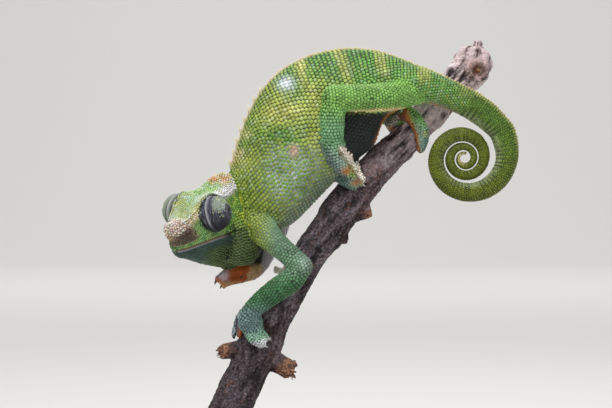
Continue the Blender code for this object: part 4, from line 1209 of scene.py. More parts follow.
def paintHindleg(far, normals, t, angle, column, row, wave, part):
    coat = Coat(step(row, 104, 130) * step(column, 356, 344), "thigh", "shin",
                "thighGap", "shinGap")
    coat.over(step(row, 142, 160) * step(column, 352, 344) * 0.35, "pale")
    coat.under(step(row, 146, 160) * 0.6, "violet")
    # a paler band along the top edge of the thigh: painted highlight
    coat.over(bell(row, 86, 2.2) * step(column, 326, 334) * step(column, 392, 380) * 0.6, "roof")
    edge = bell(row, 111.5 - (column - 352) * 0.06, 1.5)
    coat.lay(edge * step(column, 346, 352) * step(column, 408, 400), "cream", 0.9, "vent")
    paintHeel(coat, column, row, normals, far < 1)
    return coat


def paintForeleg(far, normals, t, angle, column, row, wave, part):
    far = far > 2
    coat = Coat(step(column, 256, 280), "flank", "arm", "shoulderGap", "armGap",
                step(column, 254, 278))
    coat.under(bell(column, 272, 16) * bell(row, 232, 18) * 0.35, "lavender")
    coat.lay(step(row, 266, 288), "forearm", 1, "forearmGap")
    inside = step(-normals[:, 1], -0.1, 0.2) * step(column, 266, 260) * step(row, 262, 267)
    inside *= step(row, 292, 287) * far
    coat.lay(inside, "palmEdge")
    coat.lay(~far * dot(column, row, 306, 262, 9), "snoutPale", 0.28, "lavender")
    seen = far * step(-normals[:, 1], -0.25, 0.15)
    # the far arm's side that faces the viewer painted dark grey: painted shade, with a painted lit
    # edge along its rear
    coat.lay(seen * step(row, 222, 232), "farArmShade", 0.9)
    litColumn = np.interp(row, (236, 250, 266, 276), (268, 266, 263, 256))
    coat.lay(seen * step(column - litColumn, -3.5, -0.5), "rim", 0.7, "rim", 0.6)
    coat.lay(inside, "palmEdge", 0.8)
    coat.lay(step(row, 300, 316), "foot", 0.7, "footGap", 0.6)
    return coat


def paintFoot(far, normals, t, angle, column, row, wave, part):
    coat = Coat(0.5 + 0.4 * wave, "foot", "shin", "footGap", "shinGap", 0 * wave + 0.4)
    if part == "forelegRightFoot":
        palm = blend("palm", "palmEdge",
                     np.clip(step(column, 246, 254) + step(row, 279, 284) * 0.5, 0, 1))
        # the top-left edge of the palm made pale: painted highlight
        palmHighlight = step(column, 232, 222) * step(row - (column - 216) * 0.55, 280, 272)
        coat.lay(step(-normals[:, 1], 0.05, 0.3), blend(palm, "rim", palmHighlight * 0.9))
    if part == "hindlegLeftFoot":
        paintHeel(coat, column, row, normals)
    if part == "hindlegRightFoot":
        lobe = step(column, 404, 410)
        coat.over(lobe * step(row, 140, 112), "thigh")
        coat.under(lobe * 0.5, "thighGap")
        coat.lay(bell(column - soleColumn(row), 0, 3.4), "vent", 0.85, "sole")
        # dark where the sole meets the bark: painted shadow
        dark = step(soleColumn(row) - column, -1.2, 1) * step(column, 399, 403)
        coat.lay(dark * step(row, 118, 126), "barkDark", 0.85)
        coat.over(dot(column, row, 425, 134, 3) * 0.8, "olive")
        coat.lay(step(column, 409, 404) * step(row, 130, 124), "heart", 0.4, "heart", 0.6)
        coat.over(dot(column, row, 391, 121, 6) * 0.5, "snoutPale")
        coat.lay(dot(column, row, 391, 129, 3, 0.7), "sole", 0.9)
    if part == "forelegLeftFoot":
        coat.under(0 * wave + 0.5, "violet")
        palm = bell(column, np.interp(row, (316, 336), (242, 240)), 3) * step(row, 316, 321)
        coat.lay(palm, "palm", 0.9)
        coat.lay(step(column, 242, 239) * (1 - palm), "violetLight", 0.7, "violet")
        coat.lay(step(row + column * 0.35, 428, 434), "rim", 0.65, "violet", 0.5)
    return coat


# Zones of the head: hue of the scales, its share, hue of the skin
headHues = {"rim": ("rim", 0.9, "rimGap"), "brow": ("snoutPale", 0.6, "violetLight"),
            "ridge": ("ridge", 0.9, "ridgeGap"), "rostral": ("rostral", 0.95, "rostralGap"),
            "jaw": ("jaw", 1, "jawGap"), "throat": ("throat", 0.9, "throatGap"),
            "lip": ("lip", 0.95), "lipLine": ("lipLine", 0.95), "slitShade": ("throatGap", 0.8)}


def paintHead(points):
    local = headSpace(points)
    forward, aside, up, zones = headZones(local)
    wave, fleck = grain(points, 190, 2), grain(points, 600, 4)
    coat = Coat(step(-forward, 1, 7), "cheek", "temple", "cheekGap", "templeGap")
    streaks = grain(local * (0.5, 0.5, 1.6), 0.9, 6)
    coat.over(np.clip(-2.2 * streaks - 0.1, 0, 0.5), "cheekGap")
    coat.over(np.clip(2 * streaks - 0.15, 0, 0.32), "olive")
    roof, casque, rostral = zones["roof"], zones["casque"], zones["rostral"]
    coat.lay(roof, "roof", 1, "roofGap")
    coat.lay(zones["snout"], "snout", 0.9, "roofGap")
    pale = roof * np.clip(0.1 + 1.5 * wave + 0.5 * bell(forward, -1, 3.5), 0, 1) * 0.7
    coat.lay(pale, "snoutPale", 1, "snoutPale", 0.4)
    coat.lay(roof * step(aside, 3, 4.6) * step(-forward, 3, 5), "rim", 0.8, "rimGap", 0.7)
    coat.over(casque * np.clip(0.8 + 0.9 * wave, 0, 1), "casqueTip")
    column, row = onGrid(points)
    for middle, level in ((212.8, 180), (224.8, 178.8)):
        rusty = dot(column, row, middle, level, 3.6, 0.75)
        coat.over(rusty * (up > 1) * np.clip(1.1 + 0.8 * fleck, 0, 1), "casque")
    coat.under(casque * 0.6, "ridgeGap")
    for zone in ("rim", "brow", "ridge", "rostral"):
        coat.lay(zones[zone], *headHues[zone])
    coat.over(rostral * step(fleck, -0.05, 0.25) * 0.5, "ridge")
    coat.over(rostral * step(-up, 1.6, 3.4) * 0.55, "crest")
    shine = rostral * step(up - local[:, 1] * 0.35, -2.6, 0)
    coat.over(shine * np.clip(0.75 + 0.5 * fleck, 0, 1) * 0.7, "rim")
    coat.under(shine * 0.55, "ridge")
    coat.lay(rostral * step(-up + 0.55 * local[:, 1], 1.6, 4), "shade", 0.85, "shade", 0.8)
    # the jaw hues laid here carry painted shade under the head
    for zone in ("jaw", "throat", "lip", "lipLine", "slitShade"):
        coat.lay(zones[zone], *headHues[zone])
    for side in (1, -1):
        coat.lay(bell(turretSpace(points, side), 1.1, 0.07), "violet", 0.8, "violetDark")
    coat.mottle(wave, fleck, 0.14, 0.2, 0.1)
    return coat


painters = {"trunk": paintTrunk, "neck": paintNeck, "tail": paintTail, "hindleg": paintHindleg,
            "foreleg": paintForeleg, "foot": paintFoot}


def paint(points, normals, parts, t, angle):
    tops, gaps = np.zeros((len(points), 3)), np.zeros((len(points), 3))
    for part in sorted(set(parts)):
        chosen = parts == part
        own = points[chosen]
        if part == "head":
            coat = paintHead(own)
        else:
            wave, fleck = grain(own, 110, 5), grain(own, 420, 9)
            coat = painters[kindOf(part)](own[:, 1] / mm, normals[chosen], t[chosen],
                                          angle[chosen], *onGrid(own), wave, part)
            coat.mottle(wave, fleck, 0.18, 0.24, 0.14)
        tops[chosen], gaps[chosen] = coat.top, coat.gap
    # a dark line along the crease at the back of the jaw: painted shade
    slitShade = creaseShares(points, normals)[1] * 0.9
    return [np.clip(blend(colours, "throatGap", slitShade), 0, 1) for colours in (tops, gaps)]


# Coat: one small shape set down many times, each with its colours and its place on the unwrap

def facets(bm):
    bmesh.ops.triangulate(bm, faces=bm.faces)
    verts = np.array([tuple(v.co) for v in bm.verts])
    faces = np.array([[v.index for v in f.verts] for f in bm.faces])
    bm.free()
    return verts, faces


def domeShape():      # a low scale with eight sides; height and width of its rings
    outline = [(1, -0.6), (1, 0.6), (0.6, 1), (-0.6, 1), (-1, 0.6), (-1, -0.6), (-0.6, -1),
               (0.6, -1)]
    bm = bmesh.new()
    bm.from_mesh(lofted([[(x * r, y * r, z) for x, y in outline]
                         for z, r in ((-0.9, 1), (0.3, 0.98), (0.84, 0.72))]))
    top = max(bm.faces, key=lambda f: f.calc_center_median().z)
    peak = bmesh.ops.poke(bm, faces=[top])["verts"][0]
    peak.co.z = 1
    return facets(bm)


def spineShape(sides=7):      # a thorn that leans towards its own +X
    bm = bmesh.new()
    rings = []
    for z, r in ((-0.35, 1), (0, 1), (0.35, 0.72), (0.7, 0.4), (1, 0.1)):
        lean = 0.55 * max(z, 0) ** 1.6
        rings.append([(lean + r * math.cos(2 * math.pi * k / sides),
                       r * math.sin(2 * math.pi * k / sides), z) for k in range(sides)])
    bm.from_mesh(lofted(rings))
    return facets(bm)


charts = {}        # each skin's tree of faces and the middles of their places on its unwrap


def scatter(name, shape, piece, points, xs, ys, zs, colours, material):
    verts, faces = shape
    spots = points[:, None] + verts[None, :, 0:1] * xs[:, None] \
        + verts[None, :, 1:2] * ys[:, None] + verts[None, :, 2:3] * zs[:, None]
    count, each = len(points), len(verts)
    loops = (faces[None] + (np.arange(count) * each)[:, None, None]).reshape(-1)
    mesh = bpy.data.meshes.new(name)
    mesh.vertices.add(count * each)
    mesh.vertices.foreach_set("co", spots.ravel())
    mesh.loops.add(len(loops))
    mesh.loops.foreach_set("vertex_index", loops.astype(np.int32))
    mesh.polygons.add(count * len(faces))
    mesh.polygons.foreach_set("loop_start", np.arange(0, len(loops), 3, dtype=np.int32))
    mesh.update(calc_edges=True)
    valued(mesh, "rise", np.tile(np.clip(verts[:, 2], 0, 1), count))
    for key, values in colours.items():
        tinted(mesh, key, np.repeat(values, each, axis=0))
    if piece.name not in charts:
        charts[piece.name] = (faceTree(piece.data), faceUvs(piece.data))
    tree, middles = charts[piece.name]
    roots = middles[[tree.find_nearest(Vector(p))[2] for p in points]]
    reach = np.abs(verts[:, :2]).max()
    patch = roots[:, None] + verts[None, :, :2] / reach * scaleLook["patch"] / 2
    mesh.uv_layers.new(name="OFBake").data.foreach_set("uv", patch.reshape(-1, 2)[loops].ravel())
    mesh.shade_smooth()
    mesh.validate()
    newPiece(name, mesh, material)


def faceUvs(mesh):
    uvs = np.empty(len(mesh.loops) * 2)
    mesh.uv_layers["OFBake"].data.foreach_get("uv", uvs)
    uvs = uvs.reshape(-1, 2)
    return np.array([uvs[list(p.loop_indices)].mean(axis=0) for p in mesh.polygons])


def unwrapped(piece):        # an unwrap of the piece's own shape, in charts side by side
    piece.data.uv_layers.new(name="OFBake")
    bpy.context.view_layer.objects.active = piece
    piece.select_set(True)
    bpy.ops.object.mode_set(mode="EDIT")
    bpy.ops.mesh.select_all(action="SELECT")
    bpy.ops.uv.smart_project(angle_limit=math.radians(66), island_margin=0.001)
    bpy.ops.object.mode_set(mode="OBJECT")
    piece.select_set(False)


def tinted(mesh, key, colours):
    values = np.hstack([colours, np.ones((len(colours), 1))])
    mesh.attributes.new(key, "FLOAT_COLOR", "POINT").data.foreach_set("color", values.ravel())


def valued(mesh, key, values):
    mesh.attributes.new(key, "FLOAT", "POINT").data.foreach_set("value", values)


def dressed(mesh, tops, gaps):
    tinted(mesh, "tint", tops)
    tinted(mesh, "under", gaps)


def scaleFinish():
    look = Finish("greenScales", Roughness=0.5, Specular_IOR_Level=0.36)
    top, gap = look.attribute("tint"), look.attribute("under")
    rise = look.attribute("rise", "Fac")
    speckle = look.noise(2600, 3, 0.6)
    # the foot of each dome takes the gap colour, which holds painted shade where the scales meet
    share = look.spread(rise + (speckle - 0.5) * 0.3, 0.1, 0.72)
    base = look.mix(share, gap, top)
    # each scale paler towards its peak: partly the scales' pale tips, partly a painted highlight
    paleTipHighlight = look.mix(1, top, (1.6, 1.55, 1.5, 1), "MULTIPLY")
    crown = look.spread(rise + (speckle - 0.5) * 0.6, 0.72, 1.05) * 0.55
    base = look.mix(crown, base, paleTipHighlight)
    normal = look.bump(look.noise(5200, 2, 0.5) + speckle * 1.5, 0.00005, 0.5)
    return look.wear(Base_Color=base, Roughness=look.spread(speckle, 0.2, 0.8, (0.36, 0.58)),
                     Normal=normal)


def skinFinish():
    look = Finish("greenSkin", Roughness=0.55, Specular_IOR_Level=0.4)
    top, gap = look.attribute("tint"), look.attribute("under")
    speckle = look.noise(2200, 3, 0.6)
    pores = look.cells(2300)
    base = look.mix(look.spread(speckle, 0.3, 0.75) * 0.3, gap, top)
    # the cell edges, sunk by the bump below, darkened: painted shade in the pits
    base = look.mix(look.spread(pores, 0.34, 0.62) * 0.35, base, (0.02, 0.02, 0.015, 1))
    normal = look.bump(pores * -1 + look.noise(5200, 2, 0.5) * 0.4, 0.00012, 0.6)
    return look.wear(Base_Color=base, Roughness=look.spread(speckle, 0.2, 0.8, (0.42, 0.62)),
                     Normal=normal)


print("scales")
skinMaterial, scaleMaterial = skinFinish(), scaleFinish()
dome = domeShape()
fleshNodes = [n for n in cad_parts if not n.startswith(("stand_", "perch_", "eye_"))]
tailNodes = ["tail_bend", "tail_coil_outer", "tail_coil_inner"]


def dressSkin(which, name, mesh, nodes):
    piece = newPiece(name, mesh, skinMaterial)
    mesh.shade_smooth()
    unwrapped(piece)
    own = vertexArray(mesh)
    around = forms["tail"]["rings"].shape[1]
    skipped = int(trunk["tailBare"] * len(forms["tail"]["rings"])) + 1 if which else 0
    laid, smooth = settle(which, mesh, own[skipped * around:])
    nearest = treeOf(laid["point"])
    ids = np.array([nearest.find(p)[1] for p in own.tolist()])
    dressed(mesh, *paint(own, normalArray(mesh), *(laid[k][ids] for k in ("part", "t", "angle"))))
    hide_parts(*nodes)
    tops, gaps = paint(laid["point"], laid["normal"], laid["part"], laid["t"], laid["angle"])
    draw = np.random.default_rng(scaleLook["seed"] + which)
    count = len(tops)
    tops = np.clip(tops * draw.uniform(0.84, 1.16, (count, 1)), 0, 1)
    normals = laid["normal"]
    along = laid["along"] - normals * (laid["along"] * normals).sum(axis=1)[:, None]
    along /= np.linalg.norm(along, axis=1)[:, None] + 1e-12
    across = np.cross(normals, along)
    width = scaleLook["width"] * draw.uniform(0.93, 1.05, count) * laid["wide"]
    height = np.array([scaleLook["height"][k] for k in laid["kind"]]) * laid["pitch"]
    height *= draw.uniform(0.8, 1.2, count) * laid["tall"]
    onHead = laid["kind"] == "head"
    _, _, _, zones = headZones(headSpace(laid["point"][onHead]))
    height[onHead] *= 1 + 1.2 * zones["rostral"] + 0.9 * zones["casque"] + 0.8 * zones["throat"]
    column, row = onGrid(laid["point"])
    dashed = (laid["kind"] == "neck") * step(row, 222, 236)
    dashed[onHead] = zones["throat"]
    mixed = draw.uniform(0, 1, count)
    mixed[onHead] = np.where(zones["roof"] + zones["snout"] > 0.5, mixed[onHead], 0.5)
    mixed[~onHead & (laid["kind"] != "trunk")] = 0.5
    lively = step(tops[:, 1], 0.08, 0.2)
    tops = blend(tops, "snoutPale", (mixed < 0.22) * np.where(onHead, 0.55, 0.14) * lively)
    tops = blend(tops, "olive", (mixed > 0.78) * np.where(onHead, 0.5, 0.2) * lively)
    width *= 1 - 0.15 * netShare(column, row) * (laid["kind"] == "trunk")
    groups = np.where(laid["kind"] == "neck", "trunk", laid["kind"])
    total = 0
    for group in sorted(set(groups)):
        ids = np.flatnonzero((groups == group) & ~smooth)
        total += len(ids)
        for part, first in enumerate(range(0, len(ids), scaleLook["perPiece"])):
            chosen = ids[first:first + scaleLook["perPiece"]]
            size = (laid["pitch"] * width)[chosen, None]
            scatter(f"scales_{group}_{part + 1}", dome, piece, laid["point"][chosen],
                    along[chosen] * size * (1 + 0.22 * dashed[chosen, None]),
                    across[chosen] * size * (1 - 0.26 * dashed[chosen, None]),
                    normals[chosen] * height[chosen, None],
                    {"tint": tops[chosen], "under": gaps[chosen]}, scaleMaterial)
    print(name, "scales:", total)
    return piece


skin = dressSkin(0, "skin", skinMesh, [n for n in fleshNodes if n not in tailNodes])
tailSkin = dressSkin(1, "tailSkin", tailMesh, tailNodes)


# Crest: thorns along the nape and a fine comb along the back, and beads on the tail's root

crestLook = {
    "napeTo": 3.15, "napePitch": 1.15, "tall": (2.3, 2.9), "short": (1, 1.5),
    "combTo": 16.6, "combPitch": 0.95, "combTall": (0.6, 0.95), "lean": -0.2, "seed": 3,
    "paleCount": 40,
}


def makeCrest():
    draw = random.Random(crestLook["seed"])
    points, ups, alongs, sizes = [], [], [], []
    station, number = 0.03, 0
    while station < crestLook["combTo"]:
        centre, up, side, _ = spineAt(station)
        ahead = spineAt(station + 0.05)
        heading = (ahead[0] + ahead[1] - centre - up).normalized()
        nape = station < crestLook["napeTo"]
        if nape:
            tall = draw.uniform(*(crestLook["tall"] if number % 3 == 0 else crestLook["short"]))
            tall *= 1 - 0.35 * station / crestLook["napeTo"]
        else:
            tall = draw.uniform(*crestLook["combTall"])
            tall *= 1 - 0.4 * (station - crestLook["napeTo"]) / 13
        points.append(tuple(centre + up * (1 - coatDepth * mm / up.length * 0.7)
                            + side.normalized() * draw.uniform(-0.1, 0.1) * mm))
        ups.append(tuple(up.normalized()))
        alongs.append(tuple(heading))
        sizes.append((tall, 0.4 + 0.26 * tall))
        pace = (ahead[0] + ahead[1] - centre - up).length / 0.05
        station += crestLook["napePitch" if nape else "combPitch"] * mm / pace
        number += 1
    points, ups, alongs = np.array(points), np.array(ups), np.array(alongs)
    sizes = np.array(sizes) * mm
    side = np.cross(ups, alongs)
    zs = ups * sizes[:, :1] + alongs * sizes[:, :1] * crestLook["lean"] * 0.4
    draws = np.random.default_rng(crestLook["seed"])
    mixed = draws.uniform(0, 1, len(points))
    front = np.arange(len(points)) < crestLook["paleCount"]
    tint = layered("crest", ("cream", mixed),
                   ("casque", (draws.uniform(0, 1, len(points)) > 0.8) * 0.3),
                   ("olive", np.where(front, 0, 0.3)), ("rim", np.where(front, 0.2, 0)))
    scatter("crest", spineShape(), skin, points, alongs * sizes[:, 1:], side * sizes[:, 1:], zs,
            {"tint": tint, "under": blend(tint, "backGap", np.full(len(points), 0.4))},
            scaleMaterial)
    print("crest thorns:", len(points))


makeCrest()


# Turrets: lids in fine rings round a small opening, with a glossy eye inside

turretLook = {
    "steps": 144, "from": 9, "to": 126, "count": 130, "grainRows": 4, "grainPitch": 0.42,
    "grainHeight": 0.12, "eye": 1.8, "sunk": 0.14,
}


def turretFrame(side):      # its turn, and the way from its own space, +Z ahead, to the world
    x, y, z = turret["centre"]
    gaze = gazeOf(side)
    above = (Vector((0, 0, 1)) - gaze * gaze.z).normalized()
    turn = np.array([tuple(above), tuple(gaze.cross(above)), tuple(gaze)])
    centre = np.array(headMatrix @ (Vector((x, side * y, z)) * mm))
    return turn, lambda local: local @ turn * mm + centre


def spun(profile, steps):      # a closed shape turned about Z from its profile
    bm = bmesh.new()
    verts = [bm.verts.new((x, 0, z)) for x, z in profile]
    edges = [bm.edges.new(pair) for pair in zip(verts, verts[1:])]
    bmesh.ops.spin(bm, geom=verts + edges, axis=(0, 0, 1), cent=(0, 0, 0), steps=steps,
                   angle=2 * math.pi, use_merge=True)
    bmesh.ops.remove_doubles(bm, verts=bm.verts, dist=1e-4)
    closed(bm)
    return meshOf(bm, "spun")


def lidHeight(swing):      # how far the lid stands out of its round shape, degrees from the gaze
    high = 0.13 * bell(swing, 11.5, 2.4) - 0.05 * bell(swing, 16.5, 1.4)
    high += 0.035 * np.sin(swing * 360 / 2.3 / 57.3) * step(swing, 15, 18) * step(swing, 34, 28)
    high += 0.05 * np.sin(swing * 360 / 4.6 / 57.3) * step(swing, 66, 72) * step(swing, 84, 80)
    high += -0.32 * bell(swing, 85, 2.2) + 0.24 * bell(swing, 96.5, 6.5)
    high += -0.26 * bell(swing, 108, 2.2) + 0.12 * bell(swing, 116, 5)
    return high + 0.03 * np.sin(swing * 360 / 3.1 / 57.3) * step(swing, 86, 90)


def makeLid(side, name, node):
    look = turretLook
    toWorld = turretFrame(side)[1]
    tall, wide = turret["along"], turret["across"]
    rim = math.radians(look["from"])
    profile = [(0, tall - 1.3), (wide * math.sin(rim) * 0.9, tall - 1.2),
               (wide * math.sin(rim) * 0.98, tall * math.cos(rim) - 0.3)]
    profile += [(wide * math.sin(a), tall * math.cos(a))
                for a in np.radians(np.linspace(look["from"], look["to"], look["count"]))]
    mesh = spun(profile, look["steps"])
    local = vertexArray(mesh)
    sizes = np.array((wide, wide, tall))
    flat = np.hypot(local[:, 0], local[:, 1])
    swing = np.degrees(np.arctan2(flat / wide, local[:, 2] / tall))
    inner = np.hypot(flat / wide, local[:, 2] / tall) < 0.96
    upward, sideward = local[:, 0] / (flat + 1e-9), local[:, 1] / (flat + 1e-9)
    outward = local / sizes**2
    outward /= np.linalg.norm(outward, axis=1)[:, None]
    wave = grain(local, 0.35, 3 * side)
    high = lidHeight(swing + wave * 1.2) * (1 + 0.3 * wave)
    setVertices(mesh, toWorld(local + outward * np.where(inner, 0, high)[:, None]))
    ringed = np.stack([swing * 0.42, upward * 1.5, sideward * 1.5], axis=1)
    streak = grain(ringed, 1, 5 + side, octaves=4) + 0.4 * grain(ringed, 3, 1)
    upper = step(upward + 0.25 * wave, -0.25, 0.35)
    green = step(swing, 22, 30) * step(swing, 80, 66)
    tinted(mesh, "tint", layered(
        "violet", ("violetLight", np.clip(0.12 + 2.6 * streak, 0, 1) * 0.8),
        ("violetDark", np.clip(-2.8 * streak - 0.12, 0, 1) * 0.9),
        ("violetDark", bell(swing, 12, 4.5) * 0.45),
        ("lidGreen", green * upper * (0.75 if side > 0 else 0.9)),
        ("violetDark", green * (1 - upper) * 0.55),
        ("lidGreen", step(swing, 30, 50) * (0 if side > 0 else 0.75)),
        # dark lines in the two grooves at the lid's base: painted shade
        ("violetDark", bell(swing, 85, 2.6) * 0.8 + bell(swing, 108, 2.4) * 0.7),
        ("rim", bell(swing, 96.5, 4) * 0.65),
        # the underside of the lid darkened to blue-black: painted shade
        ("violetDark", step(-upward, 0.45, 0.85) * step(swing, 35, 50) * 0.85),
        ("violetDark", inner * 0.95)))
    valued(mesh, "swing", swing / 90)
    mesh.shade_smooth()
    piece = newPiece(name, mesh, turretMaterial)
    unwrapped(piece)
    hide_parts(node)
    return piece


def makeEyeball(side, name):
    ball = turretLook["eye"]
    bulge = [(ball * math.sin(a), ball * math.cos(a) + 0.1 * math.exp(-(a / 0.35) ** 2))
             for a in np.radians(np.linspace(0, 180, 28))]
    mesh = spun(bulge, 40)
    local = vertexArray(mesh)
    off = np.hypot(local[:, 0], local[:, 1])
    off[local[:, 2] < 0] = 9       # no golden ring at the back
    tinted(mesh, "tint", blend("eyeDark", "eyeGold", bell(off, 0.66, 0.1)))
    local[:, 2] += turret["along"] - ball - turretLook["sunk"]
    setVertices(mesh, turretFrame(side)[1](local))
    mesh.shade_smooth()
    newPiece(name + "_eyeball", mesh, eyeMaterial)


def makeGrains(side, name, piece):      # fine granules on the upper half of the lid
    look = turretLook
    turn, toWorld = turretFrame(side)
    sizes = np.array((turret["across"], turret["across"], turret["along"]))
    draw = random.Random(side + 7)
    points, normals, rounds = [], [], []
    for row in np.arange(27, 74, look["grainRows"]):
        reach = turret["across"] * math.sin(math.radians(row))
        for k in range(int(2 * math.pi * reach / look["grainPitch"])):
            angle = k + draw.uniform(-0.2, 0.2) + 0.5 * (int(row) % 2)
            angle *= look["grainPitch"] / reach
            edge = math.cos(angle) + 0.25 * math.sin(3 * angle + row * 0.05)
            if edge < draw.uniform(-0.5, 0.5) or row > draw.uniform(45, 75) or draw.random() < 0.3:
                continue
            a = math.radians(row + draw.uniform(-0.8, 0.8))
            seat = sizes * (math.sin(a) * math.cos(angle), math.sin(a) * math.sin(angle),
                            math.cos(a))
            out = seat / sizes**2
            points.append(toWorld(seat))
            normals.append(out / np.linalg.norm(out) @ turn)
            rounds.append(draw.uniform(0.7, 1.05))
    points, normals, rounds = np.array(points), np.array(normals), np.array(rounds)[:, None]
    xs = np.cross(normals, turn[2])
    xs /= np.linalg.norm(xs, axis=1)[:, None]
    size = look["grainPitch"] * 0.5 * mm * rounds
    shade = np.random.default_rng(side + 7).uniform(0, 1, len(points))
    tint = layered("lidGreen", ("violetLight", np.clip(shade * 1.6 - 0.4, 0, 1)),
                   ("olive", (shade < 0.22) * 0.7))
    scatter(name + "_grains", dome, piece, points, xs * size, np.cross(normals, xs) * size,
            normals * look["grainHeight"] * mm * rounds,
            {"tint": tint, "under": blend("violet", "violetDark", 0.4 + shade * 0.5)},
            scaleMaterial)


def turretFinish():
    look = Finish("turretSkin", Roughness=0.45, Specular_IOR_Level=0.45)
    swing = look.attribute("swing", "Fac")
    drift = look.noise(900, 3, 0.6)
    lines = look.node("ShaderNodeMath", "Value", {"operation": "SINE"},
                      {0: swing * 205 + drift * 5})
    fine = look.spread(lines, -0.2, 1)
    base = look.mix(fine * 0.3, look.attribute("tint"), (0.035, 0.032, 0.055, 1))
    pale = look.spread(look.noise(2600, 3, 0.6), 0.55, 0.8) * 0.25
    base = look.mix(pale, base, (0.42, 0.42, 0.48, 1))
    return look.wear(Base_Color=base, Normal=look.bump(lines * -1 + drift, 0.00008, 0.8))


def eyeFinish():
    look = Finish("wetEye", Roughness=0.06, Specular_IOR_Level=0.6, Coat_Weight=1,
                  Coat_Roughness=0.02)
    fine = look.noise(3000, 2, 0.5)
    return look.wear(Base_Color=look.mix(fine * 0.3, look.attribute("tint"), (0.01, 0.01, 0.01, 1)))


print("turrets")
turretMaterial, eyeMaterial = turretFinish(), eyeFinish()
for side, name, node in ((1, "turretLeft", "eye_left"), (-1, "turretRight", "eye_right")):
    lid = makeLid(side, name, node)
    makeEyeball(side, name)
    makeGrains(side, name, lid)


# Claws: small curved horns at the ends of the toes

clawLook = {"length": 1.35, "root": 0.5, "curl": 55, "sides": 12, "size": 1.15}


def makeClaws():
    horns, shades = [], []
    for tip, heading, down, size in claws:
        size = min(size / (clawLook["size"] * mm), clawLook["size"])
        sideways = heading.cross(down).normalized()
        rings = []
        spot = tip - heading * 0.55 * mm
        for i in range(9):
            share = i / 8
            turned = Matrix.Rotation(math.radians(clawLook["curl"] * share), 3, sideways) @ heading
            reach = clawLook["root"] * mm * size * (1 - share) ** 0.75 + 0.03 * mm
            rings.append(oval(spot, turned.cross(sideways).normalized() * reach * 1.15,
                              sideways * reach * 0.8, 0, clawLook["sides"]))
            spot = spot + turned * (clawLook["length"] + 0.5) * mm * size / 8
        horns.append(lofted(rings))
        pale = tip.y < 0 and not 205 < onGrid(np.array([tip]))[0][0] < 232
        shades += [float(pale)] * len(horns[-1].vertices)
    mesh = joined(horns)
    mesh.shade_smooth()
    valued(mesh, "pale", shades)
    look = Finish("horn", Roughness=0.34, Specular_IOR_Level=0.5)
    streak = look.noise(1500, 3, 0.6)
    base = look.mix(look.spread(streak, 0.3, 0.75), tone(52, 44, 44), tone(128, 114, 104))
    base = look.mix(look.attribute("pale", "Fac") * 0.85, base, tone(206, 204, 202))
    newPiece("claws", mesh, look.wear(Base_Color=base, Normal=look.bump(streak, 0.00006)))
    print("claws:", len(horns))


makeClaws()


# Perch: bark with ridges, cracks and torn stubs, on the branch's own middle line

bark = {
    "voxel": 0.33, "smoothing": 2, "ridge": 0.24, "bump": 0.24, "fine": 0.12, "crack": 0.28,
    "fibres": 44, "torn": 0.55, "collar": 1.5,
    "rusty": [(60, 472, 12), (72, 474, 9), (344, 222, 13), (368, 284, 15), (268, 280, 8),
              (214, 366, 8), (332, 262, 9), (236, 345, 7)],     # row, column, how wide
}


def perchTubes():
    rows = np.arange(50, 452, 3.0)
    rings = []
    for row in rows:
        centre, radius, down, _ = perchAt(row)
        normal = (towards - down * towards.dot(down)).normalized()
        rings.append(oval(centre, normal * radius, down.cross(normal) * radius, 0, 36))
    tubes, loose = [lofted(rings)], []
    draw = random.Random(9)
    for start, column, row, depth, root, tip in perch["twigs"]:
        base = perchAt(start)[0]
        end = place(column, row, depth)
        along = (end - base).normalized()
        normal = (towards - along * towards.dot(along)).normalized()
        across = along.cross(normal)
        rings = []
        for share in np.linspace(0, 1, 10):
            reach = (root + (tip - root) * share) * mm * (1 + 0.06 * math.sin(share * 9))
            rings.append(oval(base + (end - base) * share, normal * reach, across * reach, 0, 24))
        tubes.append(lofted(rings))
        for _ in range(bark["fibres"] if start in (345, 352) else 0):     # torn ends of the stubs
            turn, off = draw.uniform(0, 2 * math.pi), draw.uniform(0.2, 1)
            out = normal * math.cos(turn) + across * math.sin(turn)
            back = draw.uniform(0.45, 0.95)
            reach = root + (tip - root) * back
            foot = base + (end - base) * back + out * off * reach * 0.85 * mm
            heading = (along + out * draw.uniform(0, 0.7)).normalized()
            length = draw.uniform(1, 2.8) * mm
            side = heading.cross(out).normalized()
            up = side.cross(heading)
            loose.append(lofted([
                oval(foot + heading * length * s, up * r * mm, side * r * mm, 0, 6)
                for s, r in ((-0.3, 0.42), (0.2, 0.36), (0.65, 0.24), (1, 0.07))]))
    return tubes, loose


